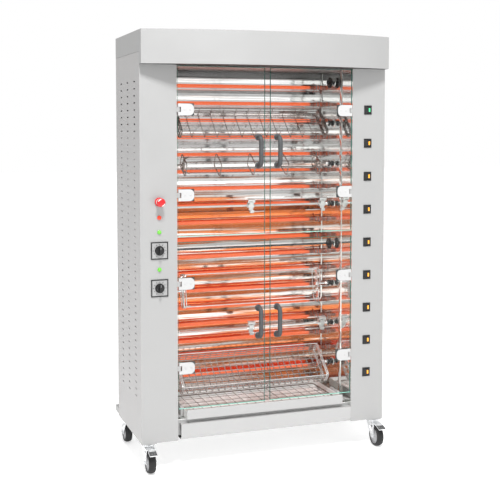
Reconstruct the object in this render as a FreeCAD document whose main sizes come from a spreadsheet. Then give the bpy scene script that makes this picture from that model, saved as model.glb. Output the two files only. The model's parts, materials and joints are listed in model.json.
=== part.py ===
# Floor-standing electric rotisserie: a tall cabinet on castors with four glass doors, eight driven
# spits in front of a bank of radiant tubes, a control column on the left and a switch column on the right.
# Millimetres. +Z is up, -Y is the front, and the origin is on the floor under the middle of the cabinet.
import FreeCAD, Part
import Sketcher
import math
import os

Vector = FreeCAD.Vector
DOC = FreeCAD.newDocument("Rotisserie")
SHEET = DOC.addObject("Spreadsheet::Sheet", "Dims")

# Driving dimensions. Heights are above the floor; "face" is the front plane of the two columns.
DIMENSIONS = [
    ("width", 1190), ("depth", 480), ("face", -214), ("underside", 128), ("seam", 1861), ("crown", 1955),
    ("sheet_t", 2), ("column_w", 168), ("column_return", 60),
    ("fascia_low", 1806.5), ("fascia_end", 37.6), ("fascia_bow", 84.4), ("fascia_t", 2),
    ("slot_l", 31), ("slot_w", 6), ("slot_low", 325.5), ("slot_pitch", 31.3), ("slot_rows", 46),
    ("slot_front", 97), ("slot_mid", 231), ("slot_rear", 363),
    ("back_slots", 8), ("spacer_l", 70), ("spacer_w", 60), ("spacer_low", 135), ("spacer_h", 26),
    ("floor_z", 216), ("cavity_deep", 364), ("ceiling", 1806), ("trough", 3), ("gap", 0.3),
    ("skirt_low", 143), ("skirt_top", 200), ("skirt_left", -412), ("recess", 30),
    ("glass_t", 6), ("glass_edge", 423), ("glass_middle", 12.6), ("glass_set", -2), ("notch_x", 408),
    ("upper_low", 1048), ("upper_top", 1803), ("lower_low", 271), ("lower_top", 1023),
    ("pivot_x", 418), ("pivot_set", 1), ("pin_r", 3), ("fit", 0.05),
    ("clamp_out", 422), ("clamp_in", 350), ("clamp_h", 52), ("clamp_t", 14), ("clamp_round", 20),
    ("knuckle_r", 5.5), ("knuckle_h", 22), ("knuckle_gap", 0.5), ("knuckle_room", 9),
    ("clamp_1", 1611), ("clamp_2", 1232), ("clamp_3", 836.5), ("clamp_4", 455.5),
    ("handle_x", 46), ("handle_upper", 1424.8), ("handle_lower", 644.2), ("handle_l", 128),
    ("handle_reach", 42), ("handle_r", 10.5), ("handle_bend", 22),
    ("spit_y", 1), ("spit_low", 373), ("spit_pitch", 196.8), ("spit_r", 5), ("bush_r", 11), ("bush_l", 14),
    ("shaft_end", 441), ("coupling_x", 402), ("coupling_l", 20), ("coupling_r", 13), ("drive_r", 26),
    ("motor_x", 432), ("motor_l", 74), ("motor_w", 64),
    ("fork_middle", -5), ("fork_right", 366), ("fork_w", 36), ("fork_h", 70), ("tine_l", 78),
    ("tube_y", 126), ("tube_low", 332.4), ("tube_pitch", 82.3), ("tube_r", 8), ("tube_half", 392),
    ("cap_l", 34), ("cap_r", 10), ("tube_count", 18),
    ("switch_x", 506), ("switch_low", 362.8), ("switch_pitch", 156.46), ("bezel_w", 38), ("bezel_h", 42),
    ("bezel_t", 3), ("window", 33), ("rocker_w", 30), ("rocker_d", 12), ("rocker_tilt", 8),
    ("control_x", 509), ("stop_z", 1204.5), ("lamp_1", 1135.7), ("lamp_2", 1071.2), ("lamp_3", 905.5),
    ("dial_1", 990), ("dial_2", 823.6), ("dial_w", 78), ("dial_t", 3), ("knob_r", 20), ("knob_l", 24),
    ("knob_gap", 0.6), ("spindle_r", 3), ("stop_r", 20), ("stop_reach", 45), ("lamp_r", 7),
    ("wheel_r", 50), ("wheel_w", 32), ("fork_gap", 19), ("fork_t", 3), ("trail", 40), ("axle_r", 4),
    ("castor_x", 559), ("castor_front", 28), ("castor_rear", 417), ("fork_top", 108),
    ("plate_half", 27), ("plate_x", 34), ("brake_pin_r", 2),
    ("tray_half", 384), ("tray_low", 219), ("tray_top", 262), ("tray_deep", 338), ("tray_t", 2),
]


def fill_sheet():
    """Write every driving dimension as a plain number with an alias."""
    for row, (alias, value) in enumerate(DIMENSIONS, start=1):
        SHEET.set(f"A{row}", alias)
        SHEET.set(f"B{row}", str(value))
        SHEET.setAlias(f"B{row}", alias)
    DOC.recompute()


def dim(alias):
    """A driving dimension as a number, for the few shapes that are built in code."""
    return float(SHEET.get(alias))


def bind(obj, prop, expression):
    """Bind a property to the sheet; a bare alias word in the expression is read from the sheet."""
    words = sorted((alias for alias, _ in DIMENSIONS), key=len, reverse=True)
    text = str(expression)
    for word in words:
        text = replace_word(text, word)
    obj.setExpression(prop, text)


def replace_word(text, word):
    """Put the sheet's name before each whole-word use of an alias."""
    out = ""
    at = 0
    while at < len(text):
        if text.startswith(word, at):
            before = text[at - 1] if at else " "
            after = text[at + len(word)] if at + len(word) < len(text) else " "
            if not (before.isalnum() or before in "_.") and not (after.isalnum() or after == "_"):
                out += "Dims." + word
                at += len(word)
                continue
        out += text[at]
        at += 1
    return out


def move(obj, x="0", y="0", z="0"):
    """Bind an object's position to the sheet."""
    for axis, expression in zip("xyz", (x, y, z)):
        bind(obj, f".Placement.Base.{axis}", expression)


def slab(name, x, y, z):
    """A block between two bound faces on each axis."""
    block = DOC.addObject("Part::Box", name)
    for prop, (low, high) in zip(("Length", "Width", "Height"), (x, y, z)):
        bind(block, prop, f"({high}) - ({low})")
    move(block, x[0], y[0], z[0])
    return block


TURNS = {
    "X": FreeCAD.Rotation(Vector(0, 1, 0), 90),
    "Y": FreeCAD.Rotation(Vector(1, 0, 0), -90),
    "Z": FreeCAD.Rotation(),
}


def bar(name, radius, length, start, along="Z"):
    """A round bar that starts at a point and runs along one axis."""
    cylinder = DOC.addObject("Part::Cylinder", name)
    cylinder.Placement = FreeCAD.Placement(Vector(), TURNS[along])
    bind(cylinder, "Radius", radius)
    bind(cylinder, "Height", length)
    move(cylinder, *start)
    return cylinder


def cut(name, base, *tools):
    """The base less every tool."""
    tool = tools[0] if len(tools) == 1 else gather(name + "_tools", tools)
    result = DOC.addObject("Part::Cut", name)
    result.Base = base
    result.Tool = tool
    return result


def join(name, *pieces):
    """One welded solid made of overlapping pieces."""
    result = DOC.addObject("Part::MultiFuse", name)
    result.Shapes = list(pieces)
    return result


def gather(name, pieces):
    """Several separate solids that make up one sub-part."""
    result = DOC.addObject("Part::Compound", name)
    result.Links = list(pieces)
    return result


NODES = []


def node(obj, label):
    """Name a finished sub-part; the label is also its file name."""
    obj.Label = label
    NODES.append(obj)
    return obj


def shaped(label, shape, place=None):
    """A sub-part whose shape is built in code from the sheet's sizes."""
    feature = DOC.addObject("Part::Feature", label)
    feature.Shape = shape
    if place is not None:
        feature.Placement = place
    return feature


def plane(body, role):
    """One of a body's origin planes or axes."""
    for feature in body.Origin.OriginFeatures:
        if feature.Role == role:
            return feature
    raise RuntimeError(role)


def sketch_on(body, role, name, offset=Vector()):
    """A sketch on an origin plane of its own body, shifted by a constant offset."""
    sketch = body.newObject("Sketcher::SketchObject", name)
    sketch.AttachmentSupport = (plane(body, role), [""])
    sketch.MapMode = "FlatFace"
    sketch.AttachmentOffset = FreeCAD.Placement(offset, FreeCAD.Rotation())
    return sketch


def rectangle(sketch, left, right, low, high):
    """A closed rectangle whose four sides are bound to the sheet."""
    corners = [Vector(0, 0, 0), Vector(10, 0, 0), Vector(10, 10, 0), Vector(0, 10, 0)]
    first = sketch.GeometryCount
    for index in range(4):
        sketch.addGeometry(Part.LineSegment(corners[index], corners[(index + 1) % 4]), False)
    for index in range(4):
        sketch.addConstraint(Sketcher.Constraint("Coincident", first + index, 2, first + (index + 1) % 4, 1))
    for index, kind in enumerate(("Horizontal", "Vertical", "Horizontal", "Vertical")):
        sketch.addConstraint(Sketcher.Constraint(kind, first + index))
    sides = [("DistanceX", 0, left), ("DistanceX", 1, right), ("DistanceY", 0, low), ("DistanceY", 2, high)]
    for kind, line, expression in sides:
        number = sketch.addConstraint(Sketcher.Constraint(kind, -1, 1, first + line, 1, 10.0))
        bind(sketch, f"Constraints[{number}]", expression)


def pad(body, sketch, length, name):
    """Pad a sketch by a bound length."""
    feature = body.newObject("PartDesign::Pad", name)
    feature.Profile = sketch
    bind(feature, "Length", length)
    sketch.Visibility = False
    return feature


def pocket(body, sketch, name):
    """Cut a sketch through the whole body, both ways."""
    feature = body.newObject("PartDesign::Pocket", name)
    feature.Profile = sketch
    feature.Type = 1
    feature.Midplane = True
    return feature


def repeat(body, feature, axis_sketch, length, count, name):
    """Repeat a feature along the vertical axis of its sketch."""
    pattern = body.newObject("PartDesign::LinearPattern", name)
    pattern.Originals = [feature]
    pattern.Direction = (axis_sketch, ["V_Axis"])
    bind(pattern, "Length", length)
    bind(pattern, "Occurrences", count)
    body.Tip = pattern
    return pattern


def rounded_slot(sketch, middle, height):
    """A slot with round ends, level along the sketch's X axis, bound to the sheet."""
    x = value_of(middle)
    y = value_of(height)
    radius = dim("slot_w") / 2
    half = dim("slot_l") / 2 - radius
    first = sketch.GeometryCount
    above = (Vector(x - half, y + radius, 0), Vector(x + half, y + radius, 0))
    below = (Vector(x + half, y - radius, 0), Vector(x - half, y - radius, 0))
    sketch.addGeometry(Part.LineSegment(*above), False)
    sketch.addGeometry(Part.LineSegment(*below), False)
    right = Part.Circle(Vector(x + half, y, 0), Vector(0, 0, 1), radius)
    left = Part.Circle(Vector(x - half, y, 0), Vector(0, 0, 1), radius)
    sketch.addGeometry(Part.ArcOfCircle(right, -math.pi / 2, math.pi / 2), False)
    sketch.addGeometry(Part.ArcOfCircle(left, math.pi / 2, 3 * math.pi / 2), False)
    ends = [(first, 2, first + 2, 2), (first + 2, 1, first + 1, 1), (first + 1, 2, first + 3, 2),
            (first + 3, 1, first, 1)]
    for one, end_one, two, end_two in ends:
        sketch.addConstraint(Sketcher.Constraint("Tangent", one, end_one, two, end_two))
    sketch.addConstraint(Sketcher.Constraint("Horizontal", first))
    sizes = [("Radius", (first + 2,), "slot_w / 2", radius),
             ("DistanceX", (-1, 1, first + 2, 3), f"{middle} + slot_l / 2 - slot_w / 2", x + half),
             ("DistanceX", (-1, 1, first + 3, 3), f"{middle} - slot_l / 2 + slot_w / 2", x - half),
             ("DistanceY", (-1, 1, first + 2, 3), height, y)]
    for kind, where, expression, value in sizes:
        number = sketch.addConstraint(Sketcher.Constraint(kind, *where, value))
        bind(sketch, f"Constraints[{number}]", expression)


# ---------------------------------------------------------------- cabinet

def side_panel(label, left_face):
    """A perforated side sheet, from the column to the back, with rows of short ventilation slots."""
    body = DOC.addObject("PartDesign::Body", label + "_body")
    outline = sketch_on(body, "YZ_Plane", label + "_outline")
    rectangle(outline, "face + sheet_t + gap", "face + depth - sheet_t - gap", "underside", "seam - 1")
    pad(body, outline, "sheet_t", label + "_sheet")
    slots = sketch_on(body, "YZ_Plane", label + "_slots")
    for column_y in ("slot_front", "slot_mid", "slot_rear"):
        rounded_slot(slots, f"face + {column_y}", "slot_low")
    row = pocket(body, slots, label + "_row")
    repeat(body, row, slots, "(slot_rows - 1) * slot_pitch", "slot_rows", label + "_rows")
    move(body, x="-width / 2" if left_face else "width / 2 - sheet_t")
    return node(body, label)


def column(label, side):
    """A folded front column: the painted face and its return beside the glass, with hinge knuckles."""
    outer = f"{side} * width / 2"
    inner = f"{side} * (width / 2 - column_w)"
    low, high = (outer, inner) if side < 0 else (inner, outer)
    front = slab(label + "_front", (low, high), ("face", "face + sheet_t"), ("underside", "seam - 1"))
    if side < 0:
        edge = ("-width / 2 + column_w - sheet_t", "-width / 2 + column_w")
        holes = control_holes(label)
    else:
        edge = ("width / 2 - column_w", "width / 2 - column_w + sheet_t")
        holes = switch_windows(label)
    drilled = cut(label + "_drilled", front, *holes)
    fold = slab(label + "_return", edge, ("face + sheet_t", "face + column_return"),
                ("underside", "seam - 1"))
    sheet = join(label + "_sheet", drilled, fold)
    return node(gather(label + "_set", [sheet] + knuckles(label, side)), label)


def control_holes(label):
    """Holes in the left column for the stop button, the lamps and the dial spindles."""
    holes = []
    for number, height in enumerate(("stop_z", "lamp_1", "lamp_2", "lamp_3", "dial_1", "dial_2")):
        at = ("-control_x", "face - 1", height)
        holes.append(bar(f"{label}_hole{number}", "lamp_r - 1.5", "sheet_t + 2", at, "Y"))
    return holes


def switch_windows(label):
    """Square windows in the right column, one for each rocker."""
    windows = []
    for number in range(9):
        middle = f"switch_low + {number} * switch_pitch"
        windows.append(slab(f"{label}_window{number}", ("switch_x - window / 2", "switch_x + window / 2"),
                            ("face - 1", "face + sheet_t + 1"),
                            (f"{middle} - window / 2", f"{middle} + window / 2")))
    return windows


def knuckles(label, side):
    """The fixed half of each glass hinge: a knuckle on an arm that stands on the column's return."""
    pieces = []
    for number in range(1, 5):
        low = f"clamp_{number} - knuckle_h / 2"
        high = f"clamp_{number} + knuckle_h / 2"
        wall = f"{side} * (width / 2 - column_w)"
        axis = f"{side} * pivot_x"
        arm_x = (wall, axis) if side < 0 else (axis, wall)
        depth = ("face + pivot_set - knuckle_r + 1", "face + pivot_set + knuckle_r - 1")
        arm = slab(f"{label}_arm{number}", arm_x, depth, (low, high))
        barrel = bar(f"{label}_barrel{number}", "knuckle_r", "knuckle_h", (axis, "face + pivot_set", low))
        solid = join(f"{label}_knuckle{number}", arm, barrel)
        bore = bar(f"{label}_bore{number}", "pin_r + fit", "knuckle_h + 2",
                   (axis, "face + pivot_set", f"{low} - 1"))
        pieces.append(cut(f"{label}_hinge{number}", solid, bore))
    return pieces


def fascia():
    """The crown across the front: a sheet bowed in plan, with end cheeks and a flat lid and soffit."""
    half = dim("width") / 2
    face = dim("face")
    ends = face - dim("fascia_end")
    nose = ends - dim("fascia_bow")
    low = dim("fascia_low")
    height = dim("crown") - low
    thick = dim("fascia_t")
    outer = [Vector(-half, face, low), Vector(-half, ends, low), Vector(0, nose, low),
             Vector(half, ends, low), Vector(half, face, low)]
    edges = [Part.LineSegment(outer[0], outer[1]).toShape(), Part.Arc(*outer[1:4]).toShape(),
             Part.LineSegment(outer[3], outer[4]).toShape(), Part.LineSegment(outer[4], outer[0]).toShape()]
    block = Part.Face(Part.Wire(edges)).extrude(Vector(0, 0, height))
    inner = [Vector(-half + thick, face + 1, low), Vector(-half + thick, ends + thick, low),
             Vector(0, nose + thick, low), Vector(half - thick, ends + thick, low),
             Vector(half - thick, face + 1, low)]
    edges = [Part.LineSegment(inner[0], inner[1]).toShape(), Part.Arc(*inner[1:4]).toShape(),
             Part.LineSegment(inner[3], inner[4]).toShape(), Part.LineSegment(inner[4], inner[0]).toShape()]
    hollow = Part.Face(Part.Wire(edges)).extrude(Vector(0, 0, height - 2 * thick))
    hollow.translate(Vector(0, 0, thick))
    return node(shaped("fascia_shell", block.cut(hollow)), "fascia")


def roof_cover():
    """The box lid behind the crown: a top sheet with two side flanges and a rear flange."""
    rear = "face + depth"
    pieces = [
        slab("roof_top", ("-width / 2", "width / 2"), ("face + gap", rear), ("crown - sheet_t", "crown")),
        slab("roof_left", ("-width / 2", "-width / 2 + sheet_t"), ("face + gap", rear),
             ("seam", "crown - sheet_t")),
        slab("roof_right", ("width / 2 - sheet_t", "width / 2"), ("face + gap", rear),
             ("seam", "crown - sheet_t")),
        slab("roof_rear", ("-width / 2 + sheet_t", "width / 2 - sheet_t"),
             (f"{rear} - sheet_t", rear), ("seam", "crown - sheet_t")),
        slab("roof_lip", ("-width / 2 + sheet_t", "width / 2 - sheet_t"),
             ("face + gap", "face + gap + sheet_t"), ("seam", "crown - sheet_t")),
    ]
    return node(gather("roof_set", pieces), "roof_cover")


def back_panel():
    """The rear sheet with a row of louvre slots near the top and the cable gland low on one side."""
    rear = "face + depth"
    sheet = slab("back_sheet", ("-width / 2 + 0.5", "width / 2 - 0.5"), (f"{rear} - sheet_t", rear),
                 ("underside", "seam - 1"))
    slots = []
    for side in (-1, 1):
        for number in range(int(dim("back_slots"))):
            middle = f"({side} * width / 4)"
            low = f"seam - 90 - {number} * slot_pitch"
            across = (f"{middle} - 3 * slot_l", f"{middle} + 3 * slot_l")
            slots.append(slab(f"back_slot{side}_{number}", across, (f"{rear} - 5", f"{rear} + 5"),
                              (low, f"{low} + slot_w")))
    sheet = cut("back_cut", sheet, *slots)
    gland_at = ("width / 2 - 90", rear, "underside + 110")
    collar = bar("gland_collar", "16", "8", gland_at, "Y")
    nut = bar("gland_nut", "13", "22", gland_at, "Y")
    hole = bar("gland_bore", "6", "40", ("width / 2 - 90", f"{rear} - 5", "underside + 110"), "Y")
    gland = cut("gland_cut", join("gland_body", collar, nut), hole)
    return node(gather("back_set", [sheet, gland]), "back_panel")


def base_frame():
    """The base pan: floor sheet, front skirt with its ledge, side rails and four castor plates."""
    inside = ("-width / 2 + sheet_t + gap", "width / 2 - sheet_t - gap")
    rear = "face + depth - sheet_t - gap"
    pieces = [
        slab("pan_floor", inside, ("face + column_return + gap", rear), ("underside", "underside + 3")),
        slab("skirt", ("skirt_left", "width / 2 - column_w - gap"), ("face", "face + sheet_t"),
             ("skirt_low", "skirt_top")),
        slab("skirt_ledge", ("skirt_left", "width / 2 - column_w - gap"),
             ("face + sheet_t", "face + recess"), ("skirt_top - sheet_t", "skirt_top")),
        slab("skirt_riser", ("-width / 2 + column_w + gap", "width / 2 - column_w - gap"),
             ("face + recess", "face + recess + sheet_t"), ("skirt_low", "floor_z - sheet_t - gap")),
        slab("skirt_foot", ("skirt_left", "width / 2 - column_w - gap"),
             ("face + skirt_low - underside", "face + column_return"), ("underside", "underside + sheet_t")),
    ]
    drop = dim("skirt_low") - dim("underside")
    thick = dim("sheet_t")
    slope = Part.makePolygon([Vector(0, 0, 0), Vector(0, thick, 0), Vector(0, drop, thick - drop),
                              Vector(0, drop, -drop), Vector(0, 0, 0)])
    length = dim("width") / 2 - dim("column_w") - dim("gap") - dim("skirt_left")
    bevel = Part.Face(slope).extrude(Vector(length, 0, 0))
    place = FreeCAD.Placement(Vector(dim("skirt_left"), dim("face"), dim("skirt_low")), FreeCAD.Rotation())
    pieces.append(shaped("skirt_bevel", bevel, place))
    for name, x, y in castor_places():
        pieces.append(slab(f"plate_{name}", (f"({x}) - plate_x", f"({x}) + plate_x"),
                           (f"({y}) - plate_half", f"({y}) + plate_half"), ("underside - 4", "underside")))
    for side in (-1, 1):
        x = (f"{side} * width / 4 - 20", f"{side} * width / 4 + 20")
        pieces.append(slab(f"rail{side}", x, ("face + column_return + gap", rear),
                           ("underside + 3", "underside + 33")))
    return node(gather("base_set", pieces), "base_frame")


def castor_places():
    """Swivel axes of the four castors: the front pair trail forward, the rear pair trail backward."""
    return [("front_left", "-castor_x", "face + castor_front"),
            ("front_right", "castor_x", "face + castor_front"),
            ("rear_left", "-castor_x", "face + castor_rear"),
            ("rear_right", "castor_x", "face + castor_rear")]


def cavity_walls():
    """The polished lining: two side walls with shaft holes, a ceiling and a floor."""
    inner = "width / 2 - column_w"
    deep = ("face + column_return + gap", "face + cavity_deep - 0.5")
    tall = ("floor_z", "ceiling")
    pieces = []
    for side, name in ((-1, "left"), (1, "right")):
        if side < 0:
            x = (f"-({inner}) - sheet_t", f"-({inner})")
        else:
            x = (inner, f"{inner} + sheet_t")
        wall = slab(f"lining_{name}", x, deep, tall)
        holes = []
        for number in range(8):
            at = (f"{x[0]} - 5", "spit_y", f"spit_low + {number} * spit_pitch")
            holes.append(bar(f"lining_{name}_hole{number}", "spit_r + 2", "12", at, "X"))
        pieces.append(cut(f"lining_{name}_wall", wall, *holes))
    across = (f"-({inner}) + gap", f"{inner} - gap")
    pieces.append(slab("lining_ceiling", across, ("face + 12", "face + cavity_deep + 20"),
                       ("ceiling + gap", "ceiling + gap + sheet_t")))
    pieces.append(slab("lining_floor", across, ("face + recess", "face + cavity_deep + 20"),
                       ("floor_z - sheet_t - gap", "floor_z - gap")))
    return node(gather("lining_set", pieces), "cavity_walls")


def rear_reflector():
    """The polished back of the cavity: one folded sheet with a shallow trough behind every tube."""
    pitch = dim("tube_pitch")
    count = int(dim("tube_count"))
    low = dim("tube_low") - pitch / 2
    back = dim("face") + dim("cavity_deep")
    trough = dim("trough")
    front_line = [(back, dim("floor_z") + 0.5)]
    for number in range(count):
        start = low + number * pitch
        front_line += [(back, start + 0.08 * pitch), (back + trough, start + 0.3 * pitch),
                       (back + trough, start + 0.7 * pitch), (back, start + 0.92 * pitch)]
    front_line.append((back, dim("ceiling") - 0.5))
    rear_line = [(y + dim("sheet_t"), z) for y, z in reversed(front_line)]
    points = [Vector(0, y, z) for y, z in front_line + rear_line]
    profile = Part.Face(Part.makePolygon(points + points[:1]))
    half = dim("width") / 2 - dim("column_w")
    place = FreeCAD.Placement(Vector(-half, 0, 0), FreeCAD.Rotation())
    return node(shaped("reflector_sheet", profile.extrude(Vector(2 * half, 0, 0)), place), "rear_reflector")


def heating_tubes():
    """Horizontal radiant tubes, each between two ceramic end caps that sit against the side walls."""
    pieces = []
    for number in range(int(dim("tube_count"))):
        height = f"tube_low + {number} * tube_pitch"
        pieces.append(bar(f"tube{number}", "tube_r", "2 * tube_half", ("-tube_half", "tube_y", height), "X"))
        for side, start in ((-1, "-tube_half - cap_l"), (1, "tube_half")):
            pieces.append(bar(f"tube{number}_cap{side}", "cap_r", "cap_l", (start, "tube_y", height), "X"))
    return node(gather("tube_set", pieces), "heating_tubes")


def spit_motors():
    """Eight gearmotors behind the right wall, each with a blind socket for its spit's shaft."""
    pieces = []
    for number in range(8):
        height = f"spit_low + {number} * spit_pitch"
        box = slab(f"motor{number}_box", ("motor_x", "motor_x + motor_l"),
                   ("spit_y - motor_w / 2", "spit_y + motor_w / 2"),
                   (f"{height} - motor_w / 2", f"{height} + motor_w / 2"))
        socket = bar(f"motor{number}_socket", "spit_r + fit", "shaft_end - motor_x + 2",
                     ("motor_x - 1", "spit_y", height), "X")
        pieces.append(cut(f"motor{number}", box, socket))
    return node(gather("motor_set", pieces), "spit_motors")


def spit_bushes():
    """Eight bushes on the left wall that carry the free ends of the spits."""
    pieces = []
    for number in range(8):
        height = f"spit_low + {number} * spit_pitch"
        start = ("-width / 2 + column_w", "spit_y", height)
        ring = bar(f"bush{number}_ring", "bush_r", "bush_l", start, "X")
        bore = bar(f"bush{number}_bore", "spit_r + fit", "bush_l + 2",
                   ("-width / 2 + column_w - 1", "spit_y", height), "X")
        pieces.append(cut(f"bush{number}", ring, bore))
    return node(gather("bush_set", pieces), "spit_bushes")


def rear_spacers():
    """Two box spacers low on the back that keep the cabinet off a wall."""
    pieces = []
    for side in (-1, 1):
        if side < 0:
            x = ("-width / 2", "-width / 2 + spacer_w")
        else:
            x = ("width / 2 - spacer_w", "width / 2")
        pieces.append(slab(f"spacer{side}", x, ("face + depth", "face + depth + spacer_l"),
                           ("spacer_low", "spacer_low + spacer_h")))
    return node(gather("spacer_set", pieces), "rear_spacers")


# ---------------------------------------------------------------- doors

DOORS = [("upper_left", -1, "upper_low", "upper_top", (1, 2)),
         ("upper_right", 1, "upper_low", "upper_top", (1, 2)),
         ("lower_left", -1, "lower_low", "lower_top", (3, 4)),
         ("lower_right", 1, "lower_low", "lower_top", (3, 4))]


def door_glass(name, side, low, top, clamps):
    """A glass leaf with a square notch for each hinge clamp."""
    body = DOC.addObject("PartDesign::Body", f"glass_{name}_body")
    outline = sketch_on(body, "XZ_Plane", f"glass_{name}_outline")
    edges = [f"{side} * glass_edge", f"{side} * glass_middle"]
    if side > 0:
        edges.reverse()
    rectangle(outline, edges[0], edges[1], low, top)
    pad(body, outline, "glass_t", f"glass_{name}_pad")
    notches = sketch_on(body, "XZ_Plane", f"glass_{name}_notches")
    for number in clamps:
        x = [f"{side} * (glass_edge + 1)", f"{side} * notch_x"]
        if side > 0:
            x.reverse()
        rectangle(notches, x[0], x[1], f"clamp_{number} - clamp_h / 2 - 1",
                  f"clamp_{number} + clamp_h / 2 + 1")
    body.Tip = pocket(body, notches, f"glass_{name}_cut")
    move(body, y="face + glass_set + glass_t")
    return node(body, f"door_glass_{name}")


def clamp_outline(side):
    """The clamp's front view: square towards the column and rounded towards the middle of the door."""
    out = dim("clamp_out")
    inner = dim("clamp_in")
    half = dim("clamp_h") / 2
    turn = dim("clamp_round")
    q = turn * (1 - math.cos(math.pi / 4))
    points = [Vector(out, 0, -half), Vector(inner + turn, 0, -half), Vector(inner + q, 0, -half + q),
              Vector(inner, 0, -half + turn), Vector(inner, 0, half - turn), Vector(inner + q, 0, half - q),
              Vector(inner + turn, 0, half), Vector(out, 0, half)]
    points = [Vector(side * p.x, p.y, p.z) for p in points]
    edges = [Part.LineSegment(points[0], points[1]).toShape(), Part.Arc(*points[1:4]).toShape(),
             Part.LineSegment(points[3], points[4]).toShape(), Part.Arc(*points[4:7]).toShape(),
             Part.LineSegment(points[6], points[7]).toShape(),
             Part.LineSegment(points[7], points[0]).toShape()]
    return Part.Face(Part.Wire(edges))


def door_clamps(name, side, low, top, clamps):
    """Two hinge clamps of one door: each grips the glass and turns on a pin in the column's knuckle."""
    pieces = []
    front = dim("face") + dim("pivot_set") - dim("clamp_t") / 2
    for number in clamps:
        middle = dim(f"clamp_{number}")
        solid = clamp_outline(side).extrude(Vector(0, dim("clamp_t"), 0))
        solid.translate(Vector(0, front, middle))
        reach = dim("clamp_in") - 5
        slot_x = -dim("notch_x") if side < 0 else reach
        corner = Vector(slot_x, dim("face") + dim("glass_set") - 0.02, middle - dim("clamp_h") / 2 - 1)
        glass = Part.makeBox(dim("notch_x") - reach, dim("glass_t") + 0.04, dim("clamp_h") + 2, corner)
        gap_h = dim("knuckle_h") + 2 * dim("knuckle_gap")
        gap_deep = dim("knuckle_room")
        gap_x = -dim("clamp_out") - 1 if side < 0 else dim("pivot_x") - gap_deep
        gap = Part.makeBox(dim("clamp_out") + 1 - dim("pivot_x") + gap_deep, dim("clamp_t") + 2, gap_h,
                           Vector(gap_x, front - 1, middle - gap_h / 2))
        pin = Part.makeCylinder(dim("pin_r"), dim("clamp_h"),
                                Vector(side * dim("pivot_x"), dim("face") + dim("pivot_set"),
                                       middle - dim("clamp_h") / 2))
        pieces.append(solid.cut([glass, gap]).fuse(pin).removeSplitter())
    return node(shaped(f"clamps_{name}", Part.makeCompound(pieces)), f"door_clamps_{name}")


def door_handle(name, side, low, top, clamps):
    """A bow handle on two feet: one round bar bent twice, standing in front of the glass."""
    height = dim("handle_upper") if low == "upper_low" else dim("handle_lower")
    glass = dim("face") + dim("glass_set")
    half = dim("handle_l") / 2
    reach = dim("handle_reach")
    bend = dim("handle_bend")
    q = bend * (1 - math.cos(math.pi / 4))
    x = side * dim("handle_x")
    points = [Vector(x, 0, -half), Vector(x, -reach + bend, -half), Vector(x, -reach + q, -half + q),
              Vector(x, -reach, -half + bend), Vector(x, -reach, half - bend),
              Vector(x, -reach + q, half - q), Vector(x, -reach + bend, half), Vector(x, 0, half)]
    edges = [Part.LineSegment(points[0], points[1]).toShape(), Part.Arc(*points[1:4]).toShape(),
             Part.LineSegment(points[3], points[4]).toShape(), Part.Arc(*points[4:7]).toShape(),
             Part.LineSegment(points[6], points[7]).toShape()]
    ring = Part.Wire([Part.Circle(points[0], Vector(0, -1, 0), dim("handle_r")).toShape()])
    grip = Part.Wire(edges).makePipeShell([ring], True, False)
    place = FreeCAD.Placement(Vector(0, glass, height), FreeCAD.Rotation())
    return node(shaped(f"handle_{name}", grip, place), f"door_handle_{name}")


# ---------------------------------------------------------------- spits

def round_bar(start, end, radius):
    """A round bar between two points."""
    along = end.sub(start)
    return Part.makeCylinder(radius, along.Length, start, along)


def grille(length, width, thick, columns, rows, wire):
    """A flat grid in the XY plane, centred on the origin, with square windows between its wires."""
    outer = Part.makePlane(length, width, Vector(-length / 2, -width / 2, 0)).OuterWire
    step_x = (length - wire) / columns
    step_y = (width - wire) / rows
    wires = [outer]
    for column_number in range(columns):
        for row_number in range(rows):
            corner = Vector(-length / 2 + wire + column_number * step_x,
                            -width / 2 + wire + row_number * step_y, 0)
            wires.append(Part.makePlane(step_x - wire, step_y - wire, corner).OuterWire)
    face = Part.makeFace(wires, "Part::FaceMakerBullseye")
    return face.extrude(Vector(0, 0, thick))


def drive_end(stub):
    """The driven end of a spit: a shaft into the gearmotor and a two-jaw coupling round it."""
    start = Vector(stub, 0, 0)
    shaft = round_bar(start, Vector(dim("shaft_end"), 0, 0), dim("spit_r"))
    jaw = Part.makeBox(dim("coupling_l"), 2 * dim("coupling_r"), 12,
                       Vector(dim("coupling_x"), -dim("coupling_r"), -6))
    hub = Part.makeCylinder(9, dim("coupling_l") - 6, Vector(dim("coupling_x") + 3, 0, 0), Vector(1, 0, 0))
    return shaft.fuse([jaw, hub])


def free_end(stub):
    """The free end of a spit, which turns in the left bush."""
    inner = -dim("width") / 2 + dim("column_w")
    return round_bar(Vector(inner + 2, 0, 0), Vector(stub, 0, 0), dim("spit_r"))


def whole_rod():
    """A rod all the way across, with both of its ends."""
    inner = -dim("width") / 2 + dim("column_w")
    return round_bar(Vector(inner + 2, 0, 0), Vector(dim("coupling_x"), 0, 0), dim("spit_r"))


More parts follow.
